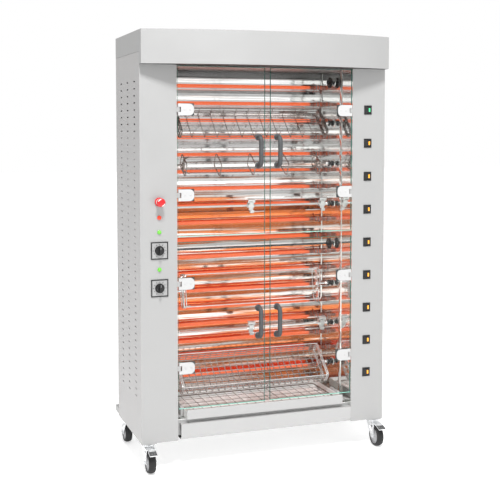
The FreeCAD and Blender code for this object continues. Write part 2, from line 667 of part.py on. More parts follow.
def basket(half, width, deep, columns, rows):
    """An open-topped wire basket: a bottom grid, two side grids and two end grids on stub shafts."""
    wire = 4
    plate_w = 34
    plate_h = 26
    bottom = grille(2 * half, width, wire, columns, rows, wire)
    bottom.translate(Vector(0, 0, -deep / 2))
    pieces = [bottom]
    for side in (-1, 1):
        wall = grille(2 * half, deep - wire, wire, columns, 2, wire)
        wall.rotate(Vector(), Vector(1, 0, 0), 90)
        wall.translate(Vector(0, side * (width / 2 - wire / 2) + wire / 2, wire / 2))
        pieces.append(wall)
    for side in (-1, 1):
        end = grille(deep - wire, width - 2 * wire, wire, 2, rows, wire)
        end.rotate(Vector(), Vector(0, 1, 0), 90)
        end.translate(Vector(side * (half - wire / 2) - wire / 2, 0, wire / 2))
        plate = Part.makeBox(wire, plate_w, plate_h, Vector(-wire / 2, -plate_w / 2, -plate_h / 2))
        plate.translate(Vector(side * (half - wire / 2), 0, 0))
        pieces.append(end.fuse(plate))
    pieces.append(free_end(-half))
    pieces.append(drive_end(half))
    return Part.makeCompound(pieces)


def hoop(outline, thick, wire):
    """A closed flat frame in the YZ plane: a polygon outline with its inside cut away."""
    outer = Part.makePolygon([Vector(0, y, z) for y, z in outline + outline[:1]])
    inner = outer.makeOffset2D(-wire, 0, False, False, False)
    ring = Part.makeFace([outer, inner], "Part::FaceMakerBullseye")
    return ring.extrude(Vector(thick, 0, 0))


def cradle(half, outline):
    """A wire cradle: long wires between two end frames, each with a flat plate across its middle."""
    wire_r = 2.5
    frame_t = 4
    frame_w = 7
    spoke_w = 30
    tall = max(z for _, z in outline)
    pieces = []
    for side in (-1, 1):
        spoke = Part.makeBox(frame_t, spoke_w, 2 * (tall - frame_t), Vector(0, -spoke_w / 2, frame_t - tall))
        end = hoop(outline, frame_t, frame_w).fuse(spoke)
        end.translate(Vector(side * half - frame_t / 2, 0, 0))
        pieces.append(end)
    inset = 2 * wire_r
    places = [(y * (1 - inset / math.hypot(y, z)), z * (1 - inset / math.hypot(y, z))) for y, z in outline]
    places += [(y / 2, outline[0][1] + frame_w / 2) for y, _ in outline[:2]]
    for y, z in places:
        start = Vector(-half + frame_t / 2, y, z)
        pieces.append(round_bar(start, Vector(half - frame_t / 2, y, z), wire_r))
    pieces.append(free_end(-half - frame_t / 2))
    pieces.append(drive_end(half + frame_t / 2))
    return Part.makeCompound(pieces)


def fork(at, sign):
    """A fork on a spit: a hub, a flat plate folded at both ends, and two tines that point along the rod."""
    hub_r = 11
    thick = 4
    fold = 18
    tine_r = 3
    wide = dim("fork_w")
    half = dim("fork_h") / 2
    hub = Part.makeCylinder(hub_r, wide, Vector(at - wide / 2, 0, 0), Vector(1, 0, 0))
    front = -hub_r
    plate = Part.makeBox(wide, thick, 2 * half, Vector(at - wide / 2, front, -half))
    foot = Part.makeBox(wide, fold, thick, Vector(at - wide / 2, front, -half))
    brow = Part.makeBox(wide, fold, thick, Vector(at - wide / 2, front, half - thick))
    tines = []
    for side in (-1, 1):
        root = Vector(at, front + fold - tine_r, side * (half - thick / 2))
        tip = Vector(at + sign * dim("tine_l"), front + fold - tine_r, side * (half - thick / 2))
        tines.append(round_bar(root, tip, tine_r))
    return hub.fuse([plate, foot, brow] + tines)


def forked_spit(blade_t):
    """A rod with a fork in the middle and one at the driven end, and a flat blade if it has a thickness."""
    rod = whole_rod().fuse([fork(dim("fork_middle"), 1), fork(dim("fork_right"), -1)])
    if blade_t:
        blade_w = 22
        start = -dim("tube_half") + dim("fork_w")
        blade = Part.makeBox(dim("fork_middle") - start, blade_w, blade_t,
                             Vector(start, -blade_w / 2, -blade_t / 2))
        rod = rod.fuse(blade)
    return Part.makeCompound([rod.fuse(drive_end(dim("fork_right")))])


def drive_disc(full_rod):
    """The large drive disc, alone on its stub or at the end of a plain rod."""
    disc = Part.makeCylinder(dim("drive_r"), 9, Vector(dim("coupling_x"), 0, 0), Vector(1, 0, 0))
    hub = Part.makeCylinder(14, 8, Vector(dim("coupling_x") + 9, 0, 0), Vector(1, 0, 0))
    start = -dim("width") / 2 + dim("column_w") + 2 if full_rod else dim("coupling_x") - 12
    rod = round_bar(Vector(start, 0, 0), Vector(dim("shaft_end"), 0, 0), dim("spit_r"))
    return disc.fuse([hub, rod])


def box_outline(width, tall):
    """The four corners of a hoop, lower pair first."""
    return [(-width / 2, -tall / 2), (width / 2, -tall / 2), (width / 2, tall / 2), (-width / 2, tall / 2)]


def spits():
    """The eight spits, bottom to top, each turned to the angle at which it rests."""
    shapes = [
        ("basket_spit_1", basket(372, 196, 58, 24, 7), 41),
        ("blade_spit_2", forked_spit(6), 20),
        ("cradle_spit_3", cradle(344, box_outline(98, 166)), -10),
        ("plain_spit_4", drive_disc(True), 0),
        ("fork_spit_5", forked_spit(0), 20),
        ("cradle_spit_6", cradle(340, box_outline(112, 74)), 30),
        ("basket_spit_7", basket(372, 158, 48, 24, 6), 44),
        ("drive_stub_8", drive_disc(False), 0),
    ]
    for number, (label, shape, tilt) in enumerate(shapes):
        height = dim("spit_low") + number * dim("spit_pitch")
        place = FreeCAD.Placement(Vector(0, dim("spit_y"), height), FreeCAD.Rotation(Vector(1, 0, 0), tilt))
        node(shaped(label + "_shape", shape, place), label)


# ---------------------------------------------------------------- controls

def switch_bezels():
    """Nine square bezels on the right column, each with a window for its rocker."""
    pieces = []
    for number in range(9):
        middle = f"switch_low + {number} * switch_pitch"
        frame = slab(f"bezel{number}_frame", ("switch_x - bezel_w / 2", "switch_x + bezel_w / 2"),
                     ("face - bezel_t", "face"), (f"{middle} - bezel_h / 2", f"{middle} + bezel_h / 2"))
        window = slab(f"bezel{number}_window", ("switch_x - window / 2", "switch_x + window / 2"),
                      ("face - bezel_t - 1", "face + 1"),
                      (f"{middle} - window / 2", f"{middle} + window / 2"))
        pieces.append(cut(f"bezel{number}", frame, window))
    return node(gather("bezel_set", pieces), "switch_bezels")


def rockers():
    """Nine rockers: a shallow roof-shaped key that tips on two upright pins in its window."""
    half = dim("rocker_w") / 2
    deep = dim("rocker_d")
    pin_r = 2.5
    pin_out = 1
    profile = [(-half, deep / 2), (half, deep / 2), (half, -deep / 2 + 2), (2, -deep / 2 - 1),
               (-2, -deep / 2 - 1), (-half, -deep / 2 + 2)]
    outline = Part.Face(Part.makePolygon([Vector(x, y, -half) for x, y in profile + profile[:1]]))
    for number in range(9):
        middle = dim("switch_low") + number * dim("switch_pitch")
        pin = Part.makeCylinder(pin_r, 2 * half + 2 * pin_out, Vector(0, 0, -half - pin_out))
        key = outline.extrude(Vector(0, 0, 2 * half)).fuse(pin)
        turn = FreeCAD.Rotation(Vector(0, 0, 1), -dim("rocker_tilt"))
        place = FreeCAD.Placement(Vector(dim("switch_x"), dim("face") + 1, middle), turn)
        node(shaped(f"rocker_{number + 1}_key", key, place), f"rocker_{number + 1}")


def control_bezels():
    """The two dial plates and the collar of the stop button."""
    pieces = []
    for number in (1, 2):
        half = "dial_w / 2"
        plate = slab(f"dial{number}_plate", (f"-control_x - {half}", f"-control_x + {half}"),
                     ("face - dial_t", "face"), (f"dial_{number} - {half}", f"dial_{number} + {half}"))
        hole = bar(f"dial{number}_hole", "spindle_r + 0.5", "dial_t + 2",
                   ("-control_x", "face - dial_t - 1", f"dial_{number}"), "Y")
        pieces.append(cut(f"dial{number}_cut", plate, hole))
    collar = bar("stop_collar", "15", "14", ("-control_x", "face - 14", "stop_z"), "Y")
    bore = bar("stop_bore", "spindle_r + 0.5", "20", ("-control_x", "face - 17", "stop_z"), "Y")
    pieces.append(cut("stop_collar_cut", collar, bore))
    return node(gather("control_set", pieces), "control_bezels")


def pilot_lights():
    """Three round pilot lamps: a rim on the face and a low domed lens."""
    pieces = []
    for number in (1, 2, 3):
        height = f"lamp_{number}"
        rim = bar(f"lamp{number}_rim", "lamp_r + 2", "3", ("-control_x", "face - 3", height), "Y")
        lens = bar(f"lamp{number}_lens", "lamp_r - 0.5", "7", ("-control_x", "face - 7", height), "Y")
        pieces.append(join(f"lamp{number}", rim, lens))
    return node(gather("lamp_set", pieces), "pilot_lights")


def knobs():
    """Two selector knobs with a raised grip bar, each on a spindle through its dial plate."""
    radius = dim("knob_r")
    length = dim("knob_l")
    front = dim("face") - dim("dial_t") - dim("knob_gap")
    for number in (1, 2):
        skirt = Part.makeCone(radius, radius - 2, 10, Vector(0, 0, 0), Vector(0, -1, 0))
        grip = Part.makeBox(10, length - 8, 2 * radius - 5, Vector(-5, -length, -radius + 2.5))
        spindle = Part.makeCylinder(dim("spindle_r"), 22, Vector(0, 0, 0), Vector(0, 1, 0))
        place = FreeCAD.Placement(Vector(-dim("control_x"), front, dim(f"dial_{number}")), FreeCAD.Rotation())
        node(shaped(f"knob_{number}_solid", skirt.fuse([grip, spindle]), place), f"knob_{number}")


def stop_button():
    """The emergency stop: a mushroom head on a plunger, with room behind it for its stroke."""
    radius = dim("stop_r")
    reach = dim("stop_reach")
    head = Part.makeCylinder(radius, 12, Vector(0, -reach + 16, 0), Vector(0, -1, 0))
    dome = Part.makeCone(radius, radius - 6, 4, Vector(0, -reach + 4, 0), Vector(0, -1, 0))
    neck = Part.makeCone(10, radius, 6, Vector(0, -reach + 22, 0), Vector(0, -1, 0))
    plunger = Part.makeCylinder(dim("spindle_r"), reach - 22 + 12, Vector(0, 12, 0), Vector(0, -1, 0))
    place = FreeCAD.Placement(Vector(-dim("control_x"), dim("face"), dim("stop_z")), FreeCAD.Rotation())
    return node(shaped("stop_button_solid", head.fuse([dome, neck, plunger]), place), "stop_button")


# ---------------------------------------------------------------- castors and tray

def castor(name, x, y, direction, braked):
    """A plate castor: a fork that swivels under its plate, a wheel on its axle and perhaps a pedal."""
    centre_x = value_of(x)
    centre_y = value_of(y)
    trail = direction * dim("trail")
    gap = dim("fork_gap")
    thick = dim("fork_t")
    top = dim("fork_top")
    axle_z = dim("wheel_r")
    head_r = 24
    plate_t = 4
    foot_z = axle_z - 8
    head_h = dim("underside") - plate_t - dim("gap") - top - thick
    head = Part.makeCylinder(head_r, head_h, Vector(0, 0, top + thick))
    near = -direction * head_r
    far = trail + direction * 10
    crown = Part.makeBox(2 * (gap + thick), abs(far - near), thick, Vector(-gap - thick, min(near, far), top))
    outline = [(near, top), (far, top), (trail + direction * 12, foot_z), (trail - direction * 12, foot_z)]
    legs = []
    for left in (-gap - thick, gap):
        corners = [Vector(left, along, height) for along, height in outline]
        legs.append(Part.Face(Part.makePolygon(corners + corners[:1])).extrude(Vector(thick, 0, 0)))
    end = gap + 2 * thick
    axle = Part.makeCylinder(dim("axle_r"), 2 * end, Vector(-end, trail, axle_z), Vector(1, 0, 0))
    solid = head.fuse([crown, axle] + legs)
    if braked:
        pin = Part.makeCylinder(dim("brake_pin_r"), 32, Vector(-16, trail - 21, top + 1), Vector(1, 0, 0))
        ears = [Part.makeBox(thick, 12, 10, Vector(left, trail - 26, top - 4)) for left in (-16, 13)]
        solid = solid.fuse(ears + [pin])
    place = FreeCAD.Placement(Vector(centre_x, centre_y, 0), FreeCAD.Rotation())
    node(shaped(f"castor_fork_{name}_solid", solid, place), f"castor_fork_{name}")
    wheel_place = FreeCAD.Placement(Vector(centre_x, centre_y + trail, axle_z), FreeCAD.Rotation())
    node(shaped(f"castor_wheel_{name}_solid", wheel(), wheel_place), f"castor_wheel_{name}")
    if braked:
        node(shaped(f"brake_pedal_{name}_solid", brake_pedal(trail, top), place), f"brake_pedal_{name}")


def value_of(expression):
    """The value of a sum of aliases and numbers, such as a castor's place."""
    total = 0.0
    sign = 1
    for word in expression.replace("-", " - ").replace("+", " + ").split():
        if word in "+-":
            sign = -1 if word == "-" else 1
            continue
        total += sign * (float(word) if word.replace(".", "").isdigit() else dim(word))
        sign = 1
    return total


def wheel():
    """A castor wheel: a rounded tyre on a dished hub, revolved about the axle."""
    radius = dim("wheel_r")
    half = dim("wheel_w") / 2
    bore = dim("axle_r") + dim("fit")
    profile = [Vector(-half - 2, bore, 0), Vector(-half - 2, 14, 0), Vector(-half + 5, 18, 0),
               Vector(-half + 5, 33, 0), Vector(-half, 37, 0), Vector(-half, radius - 5, 0)]
    crown = [Vector(-half, radius - 5, 0), Vector(0, radius, 0), Vector(half, radius - 5, 0)]
    mirror = [Vector(-p.x, p.y, 0) for p in reversed(profile)]
    edges = [Part.LineSegment(a, b).toShape() for a, b in zip(profile, profile[1:])]
    edges.append(Part.Arc(*crown).toShape())
    edges += [Part.LineSegment(a, b).toShape() for a, b in zip(mirror, mirror[1:])]
    edges.append(Part.LineSegment(mirror[-1], profile[0]).toShape())
    return Part.Face(Part.Wire(edges)).revolve(Vector(), Vector(1, 0, 0), 360)


def brake_pedal(trail, top):
    """The foot pedal of a front castor: a knuckle on the fork's pin and a sloping tread."""
    knuckle = Part.makeCylinder(5, 24, Vector(-12, trail - 21, top + 1), Vector(1, 0, 0))
    bore = Part.makeCylinder(dim("brake_pin_r") + dim("fit"), 30, Vector(-15, trail - 21, top + 1),
                             Vector(1, 0, 0))
    tread = Part.makeBox(34, 35, 4, Vector(-17, -44, -2))
    tread = tread.fuse(Part.makeBox(22, 14, 4, Vector(-11, -13, -2)))
    tread.rotate(Vector(), Vector(1, 0, 0), 18)
    tread.translate(Vector(0, trail - 21, top + 1))
    return knuckle.fuse(tread).cut(bore)


def drip_tray():
    """The drip tray under the spits: an open box with a plain front that slides out over the skirt."""
    front = ("face + 1", "face + 1 + tray_t")
    rear = "face + 1 + tray_deep"
    side = ("face + 1 + tray_t", rear)
    pieces = [
        slab("tray_front", ("-tray_half", "tray_half"), front, ("tray_low", "tray_top")),
        slab("tray_bottom", ("-tray_half + tray_t", "tray_half - tray_t"), side,
             ("tray_low", "tray_low + tray_t")),
        slab("tray_left", ("-tray_half", "-tray_half + tray_t"), side, ("tray_low", "tray_top - 8")),
        slab("tray_right", ("tray_half - tray_t", "tray_half"), side, ("tray_low", "tray_top - 8")),
        slab("tray_rear", ("-tray_half + tray_t", "tray_half - tray_t"), (f"{rear} - tray_t", rear),
             ("tray_low + tray_t", "tray_top - 8")),
    ]
    return node(gather("tray_set", pieces), "drip_tray")


# ---------------------------------------------------------------- build, check, write

def build():
    """Make every sub-part."""
    fill_sheet()
    column("left_column", -1)
    column("right_column", 1)
    side_panel("left_side_panel", True)
    side_panel("right_side_panel", False)
    fascia()
    roof_cover()
    back_panel()
    base_frame()
    cavity_walls()
    rear_reflector()
    heating_tubes()
    spit_motors()
    spit_bushes()
    rear_spacers()
    for door in DOORS:
        door_glass(*door)
        door_clamps(*door)
        door_handle(*door)
    spits()
    switch_bezels()
    rockers()
    control_bezels()
    pilot_lights()
    knobs()
    stop_button()
    for (name, x, y), direction in zip(castor_places(), (-1, -1, 1, 1)):
        castor(name, x, y, direction, direction < 0)
    drip_tray()


def check_and_write():
    """Stop at any failed object or bad shape, then write one file for each sub-part."""
    DOC.recompute()
    for obj in DOC.Objects:
        if "Invalid" in obj.State or "Error" in obj.State:
            raise RuntimeError(f"{obj.Name} failed: {obj.State}")
    os.makedirs("parts", exist_ok=True)
    for obj in NODES:
        if obj.Shape.isNull() or not obj.Shape.isValid():
            raise RuntimeError(f"{obj.Label} has a bad shape")
        obj.Shape.exportStep(f"parts/{obj.Label}.step")
        print(obj.Label, len(obj.Shape.Solids), "solids", round(obj.Shape.Volume), "mm3")
    print(len(NODES), "nodes")


build()
check_and_write()
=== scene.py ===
"""The looks of the floor-standing rotisserie: materials, wire work, fittings and studio."""

import math

import bmesh
import bpy
from mathutils import Matrix, Vector
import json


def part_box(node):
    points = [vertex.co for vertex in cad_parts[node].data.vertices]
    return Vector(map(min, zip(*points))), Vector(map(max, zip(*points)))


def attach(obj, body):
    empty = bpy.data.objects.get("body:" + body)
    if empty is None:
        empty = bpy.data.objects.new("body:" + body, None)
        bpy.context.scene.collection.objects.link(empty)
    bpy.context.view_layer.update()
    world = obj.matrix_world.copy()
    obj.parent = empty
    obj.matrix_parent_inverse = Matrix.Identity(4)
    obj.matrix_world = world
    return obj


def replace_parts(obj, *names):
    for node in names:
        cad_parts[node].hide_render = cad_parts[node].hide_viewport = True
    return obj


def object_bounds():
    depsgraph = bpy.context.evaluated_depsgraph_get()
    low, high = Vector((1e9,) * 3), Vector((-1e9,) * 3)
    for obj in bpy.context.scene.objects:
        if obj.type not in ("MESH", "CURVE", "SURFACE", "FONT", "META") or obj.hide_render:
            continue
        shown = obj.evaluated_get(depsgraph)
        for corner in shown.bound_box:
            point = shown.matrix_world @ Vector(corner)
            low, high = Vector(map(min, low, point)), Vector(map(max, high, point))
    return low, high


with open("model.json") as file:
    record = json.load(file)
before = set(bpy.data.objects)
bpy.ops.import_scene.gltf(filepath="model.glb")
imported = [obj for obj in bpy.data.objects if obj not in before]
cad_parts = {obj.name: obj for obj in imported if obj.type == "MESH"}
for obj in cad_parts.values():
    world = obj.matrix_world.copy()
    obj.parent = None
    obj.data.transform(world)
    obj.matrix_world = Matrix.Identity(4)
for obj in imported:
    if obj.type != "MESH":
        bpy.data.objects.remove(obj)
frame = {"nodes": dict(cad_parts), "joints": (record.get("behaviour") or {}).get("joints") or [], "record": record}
NODES = frame["nodes"]
JOINTS = {joint["name"]: joint for joint in frame["joints"]}
cad_low, cad_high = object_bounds()
DOORS = ("upper_left", "upper_right", "lower_left", "lower_right")
CASTORS = ("front_left", "front_right", "rear_left", "rear_right")
SPITS = ("basket_spit_1", "blade_spit_2", "cradle_spit_3", "plain_spit_4", "fork_spit_5", "cradle_spit_6",
         "basket_spit_7", "drive_stub_8")
# The front plane of the columns, and the rear plane of the back panel.
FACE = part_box("base_frame")[0].y
REAR = FACE + 0.480
# The inner faces of the side walls, a height just over the crown's lower edge, and one between the
# stop button and the dials.
WALL_X = 0.427
CROWN_UNDER = 1.808
ABOVE_DIALS = 1.1
# The radius of a castor wheel's grey core.
HUB_RADIUS = 0.0365
QUARTER = math.radians(90)


# ---------------- node helpers

def new_material(name):
    """A material with its shader tree ready; gives the material, its tree and its shader."""
    material = bpy.data.materials.new(name)
    material.use_nodes = True
    tree = material.node_tree
    return material, tree, tree.nodes["Principled BSDF"]


def position(tree):
    """The point being shaded, in metres, in the piece's own space."""
    return tree.nodes.new("ShaderNodeTexCoord").outputs["Object"]


def coordinate(tree, axis):
    """One coordinate of the point being shaded."""
    split = tree.nodes.new("ShaderNodeSeparateXYZ")
    tree.links.new(position(tree), split.inputs["Vector"])
    return split.outputs[axis]


def stretched(tree, scale):
    """The shaded point stretched along each axis, for grain that runs one way."""
    mapping = tree.nodes.new("ShaderNodeMapping")
    mapping.inputs["Scale"].default_value = scale
    tree.links.new(position(tree), mapping.inputs["Vector"])
    return mapping.outputs["Vector"]


def noise(tree, vector, scale, detail):
    """A noise texture on a vector."""
    texture = tree.nodes.new("ShaderNodeTexNoise")
    texture.inputs["Scale"].default_value = scale
    texture.inputs["Detail"].default_value = detail
    texture.inputs["Roughness"].default_value = 0.55
    tree.links.new(vector, texture.inputs["Vector"])
    return texture.outputs["Fac"]


def spread(tree, value, low, high, start=0.3, end=0.7):
    """A value that runs from start to end, spread from low to high and held there beyond them."""
    mapped = tree.nodes.new("ShaderNodeMapRange")
    mapped.inputs["From Min"].default_value = start
    mapped.inputs["From Max"].default_value = end
    mapped.inputs["To Min"].default_value = low
    mapped.inputs["To Max"].default_value = high
    tree.links.new(value, mapped.inputs["Value"])
    return mapped.outputs["Result"]


def worked_out(tree, operation, *values):
    """A sum, product or the like of values, each a plain number or another node's output."""
    node = tree.nodes.new("ShaderNodeMath")
    node.operation = operation
    for socket, value in zip(node.inputs, values):
        if isinstance(value, float):
            socket.default_value = value
        else:
            tree.links.new(value, socket)
    return node.outputs["Value"]


def ramp(tree, value, stops):
    """A value turned into colour by a list of (place, colour)."""
    colours = tree.nodes.new("ShaderNodeValToRGB")
    elements = colours.color_ramp.elements
    while len(elements) < len(stops):
        elements.new(0.5)
    for element, (place, colour) in zip(elements, stops):
        element.position = place
        element.color = (*colour, 1.0)
    tree.links.new(value, colours.inputs["Fac"])
    return colours.outputs["Color"]


def bump(tree, shader, height, strength, distance=0.0002):
    """Fine relief from a height value."""
    relief = tree.nodes.new("ShaderNodeBump")
    relief.inputs["Strength"].default_value = strength
    relief.inputs["Distance"].default_value = distance
    tree.links.new(height, relief.inputs["Height"])
    tree.links.new(relief.outputs["Normal"], shader.inputs["Normal"])


def scaled(colour, factor):
    """A colour made darker or lighter."""
    return tuple(min(1.0, channel * factor) for channel in colour)


def greys(*stops):
    """Ramp stops from (place, brightness) pairs."""
    return [(place, (level, level, level)) for place, level in stops]


# ---------------- materials

# Stretches that make grain run along one axis of a sheet, along a wire or a small plate, or no way.
ALONG_X = (0.02, 1.0, 1.0)
ALONG_Z = (1.0, 1.0, 0.02)
WIRE_GRAIN = (0.05, 1.0, 1.0)
PLATE_GRAIN = (1.0, 1.0, 0.05)
EVEN = (1.0, 1.0, 1.0)
# About where the reflector starts and ends in height, and a tube's hot length and the tube end in X.
REFLECTOR_FOOT = 0.22
REFLECTOR_TOP = 1.8
HOT_END = 0.32
TUBE_END = 0.42
TUBE_POWER = 0.85


def brushed(name, colour, roughness, metallic, grain, spot, depth=0.05):
    """Brushed sheet steel: grain along one axis, with faint cloudy patches in its tone and gloss."""
    material, tree, shader = new_material(name)
    lines = noise(tree, stretched(tree, grain), 900.0, 3.0)
    clouds = noise(tree, position(tree), 5.0, 3.0)
    tone = worked_out(tree, "MULTIPLY_ADD", lines, 0.5, spread(tree, clouds, 0.15, 0.5))
    stops = [(0.2, scaled(colour, 1.0 - spot)), (0.8, scaled(colour, 1.0 + spot))]
    tree.links.new(ramp(tree, tone, stops), shader.inputs["Base Color"])
    gloss = spread(tree, tone, roughness * 0.85, roughness * 1.15, 0.2, 0.8)
    tree.links.new(gloss, shader.inputs["Roughness"])
    shader.inputs["Metallic"].default_value = metallic
    bump(tree, shader, lines, depth)
    return material


def reflector_painted_glow():
    """The reflector's polished steel with the tubes' glow painted in as reflection: grey above, streaked orange
    and brown below and in one broad band.
    """
    material, tree, shader = new_material("polished_reflector")
    # Painted reflection: the glowing tubes' orange and the dark surroundings laid into the colour by height, then
    # streaked.
    height = spread(tree, coordinate(tree, "Z"), 0.0, 1.0, REFLECTOR_FOOT, REFLECTOR_TOP)
    glow_reflection_by_height = greys((0.0, 0.56), (0.42, 0.6), (0.5, 0.4), (0.525, 0.8),
                           (0.6, 0.78), (0.62, 0.28), (0.8, 0.13), (1.0, 0.04))
    glow_level = ramp(tree, height, glow_reflection_by_height)
    streaks = noise(tree, stretched(tree, (0.22, 1.0, 7.0)), 6.5, 3.0)
    streaked = worked_out(tree, "ADD", glow_level, spread(tree, streaks, -0.42, 0.42))
    stops = [(0.0, (0.8, 0.8, 0.79)), (0.22, (0.62, 0.61, 0.6)), (0.42, (0.78, 0.73, 0.7)),
             (0.6, (0.5, 0.21, 0.11)), (0.78, (0.72, 0.2, 0.06)), (1.0, (0.56, 0.14, 0.04))]
    tree.links.new(ramp(tree, streaked, stops), shader.inputs["Base Color"])
    tree.links.new(spread(tree, streaks, 0.07, 0.15), shader.inputs["Roughness"])
    shader.inputs["Metallic"].default_value = 1.0
    bump(tree, shader, noise(tree, stretched(tree, ALONG_X), 900.0, 3.0), 0.04)
    return material


def moulded(name, colour, roughness, grain=1400.0, depth=0.12):
    """Moulded plastic or rubber: a fine pebbled grain and a slightly uneven tone."""
    material, tree, shader = new_material(name)
    pebbles = noise(tree, position(tree), grain, 2.0)
    clouds = noise(tree, position(tree), 40.0, 3.0)
    stops = [(0.35, scaled(colour, 0.88)), (0.65, scaled(colour, 1.12))]
    tree.links.new(ramp(tree, clouds, stops), shader.inputs["Base Color"])
    tree.links.new(spread(tree, pebbles, roughness * 0.85, roughness * 1.2), shader.inputs["Roughness"])
    bump(tree, shader, pebbles, depth)
    return material


def lit_lens(name, colour, strength):
    """A coloured lens that glows as if a lamp were behind it, with fine moulded ribs."""
    material, tree, shader = new_material(name)
    ribs = noise(tree, stretched(tree, (1.0, 1.0, 6.0)), 260.0, 2.0)
    tint = ramp(tree, ribs, [(0.3, scaled(colour, 0.8)), (0.7, scaled(colour, 1.15))])
    tree.links.new(tint, shader.inputs["Base Color"])
    tree.links.new(tint, shader.inputs["Emission Color"])
    shader.inputs["Emission Strength"].default_value = strength
    shader.inputs["Roughness"].default_value = 0.25
    bump(tree, shader, ribs, 0.1, 0.0003)
    return material


def clear_glass():
    """Clear tempered glass: almost wholly see-through, with soft smears in its gloss."""
    material, tree, shader = new_material("glass_clear")
    smears = noise(tree, stretched(tree, (1.0, 1.0, 0.3)), 9.0, 4.0)
    stops = [(0.3, (0.8, 0.9, 0.87)), (0.7, (0.86, 0.94, 0.91))]
    tree.links.new(ramp(tree, smears, stops), shader.inputs["Base Color"])
    tree.links.new(spread(tree, smears, 0.02, 0.07), shader.inputs["Roughness"])
    shader.inputs["Alpha"].default_value = 0.007
    shader.inputs["Specular IOR Level"].default_value = 0.25
    return material


def green_edge():
    """The ground edge of the glass, where its green shows."""
    material, tree, shader = new_material("glass_edge")
    clouds = noise(tree, position(tree), 60.0, 3.0)
    stops = [(0.3, (0.09, 0.3, 0.23)), (0.7, (0.16, 0.42, 0.33))]
    tree.links.new(ramp(tree, clouds, stops), shader.inputs["Base Color"])
    shader.inputs["Roughness"].default_value = 0.25
    bump(tree, shader, clouds, 0.05)
    return material


def glowing_tube():
    """A radiant tube: orange, dark for a stretch near each end, then a dimmer painted glow on the ceramic end
    caps, with its winding just showing.
    """
    material, tree, shader = new_material("tube_glow")
    away = worked_out(tree, "ABSOLUTE", coordinate(tree, "X"))
    reach = spread(tree, away, 0.0, 1.0, HOT_END, TUBE_END)
    # Out from the middle: full glow, a dark stretch, then painted glow on the ceramic caps, dropping towards the
    # tube end.
    glow_level = ramp(tree, reach, greys((0.0, 1.0), (0.28, 0.85), (0.38, 0.12), (0.54, 0.12),
                                   (0.64, 0.42), (0.86, 0.42), (1.0, 0.14)))
    winding = tree.nodes.new("ShaderNodeTexWave")
    winding.inputs["Scale"].default_value = 130.0
    winding.inputs["Distortion"].default_value = 0.4
    tree.links.new(position(tree), winding.inputs["Vector"])
    glow = spread(tree, winding.outputs["Fac"], 0.86, 1.0, 0.0, 1.0)
    power = worked_out(tree, "MULTIPLY", worked_out(tree, "MULTIPLY", glow_level, glow), TUBE_POWER)
    tree.links.new(power, shader.inputs["Emission Strength"])
    shader.inputs["Emission Color"].default_value = (1.0, 0.15, 0.04, 1.0)
    cold = [(0.0, (0.05, 0.035, 0.03)), (1.0, (0.1, 0.03, 0.015))]
    tree.links.new(ramp(tree, glow_level, cold), shader.inputs["Base Color"])
    shader.inputs["Roughness"].default_value = 0.3
    return material


BODY = brushed("body_steel", (0.375, 0.375, 0.373), 0.42, 0.25, ALONG_Z, 0.02)
# A lighter copy of the body steel for the base frame: painted light on the skirt under the tray.
SKIRT_PAINTED_LIGHT = brushed("skirt_steel", (0.42, 0.42, 0.418), 0.42, 0.1, ALONG_X, 0.02)
# Near-black painted shade for the fascia's underside.
SHADE = brushed("underside_steel", (0.045, 0.045, 0.045), 0.6, 0.0, ALONG_X, 0.1)
# A far lighter copy of the tray steel: painted light on the tray's inside.
TRAY_PAINTED_LIGHT = brushed("tray_inside", (0.9, 0.9, 0.89), 0.3, 0.05, ALONG_X, 0.03)
# A lighter copy of the body steel for the side panels and slot liners: painted light on faces the key lamp barely
# reaches.
SIDE_PAINTED_LIGHT = brushed("side_steel", (0.42, 0.413, 0.41), 0.45, 0.2, (1.0, 0.02, 1.0), 0.02)
LINING = brushed("polished_lining", (0.78, 0.79, 0.77), 0.09, 0.97, ALONG_X, 0.05, 0.04)
REFLECTOR = reflector_painted_glow()
FORK = brushed("fork_plate", (0.5, 0.51, 0.5), 0.3, 0.6, PLATE_GRAIN, 0.12, 0.06)
BRIGHT = brushed("bright_wire", (0.76, 0.76, 0.75), 0.2, 0.85, WIRE_GRAIN, 0.06, 0.04)
STEEL_WIRE = brushed("steel_wire", (0.47, 0.46, 0.44), 0.25, 0.9, WIRE_GRAIN, 0.1, 0.04)
DARK_WIRE = brushed("tarnished_wire", (0.3, 0.27, 0.25), 0.25, 1.0, WIRE_GRAIN, 0.15, 0.04)
DARK_ROD = brushed("blued_rod", (0.1, 0.1, 0.105), 0.12, 1.0, WIRE_GRAIN, 0.1, 0.03)
# Dark steel: the tube holders' colour, and painted shade on the plate under the ceiling.
DARK_STEEL_AND_SHADE = brushed("baffle_steel", (0.2, 0.197, 0.193), 0.3, 0.7, ALONG_X, 0.1)
# Lit and shaded copies of the glass edge's green: painted light on the lower edges, painted shade on the others.
EDGE_LIT_GREEN = brushed("edge_mint", (0.24, 0.58, 0.48), 0.25, 0.0, ALONG_X, 0.12, 0.02)
EDGE_SHADED_GREEN = brushed("edge_teal", (0.03, 0.12, 0.1), 0.25, 0.0, ALONG_Z, 0.25, 0.02)
CLAMP = brushed("clamp_steel", (0.5, 0.5, 0.5), 0.45, 0.1, PLATE_GRAIN, 0.03, 0.04)
TRAY = brushed("tray_steel", (0.4, 0.4, 0.398), 0.5, 0.0, ALONG_X, 0.03)
PLATE = brushed("dial_plate", (0.36, 0.36, 0.36), 0.4, 0.3, (1.0, 1.0, 0.03), 0.05, 0.06)
ZINC = brushed("castor_zinc", (0.74, 0.75, 0.76), 0.26, 0.75, EVEN, 0.1, 0.03)
BLACK = moulded("black_plastic", (0.008, 0.008, 0.0085), 0.5)
HANDLE = moulded("handle_grey", (0.06, 0.063, 0.066), 0.6)
RUBBER = moulded("castor_rubber", (0.012, 0.012, 0.0125), 0.7, 700.0)
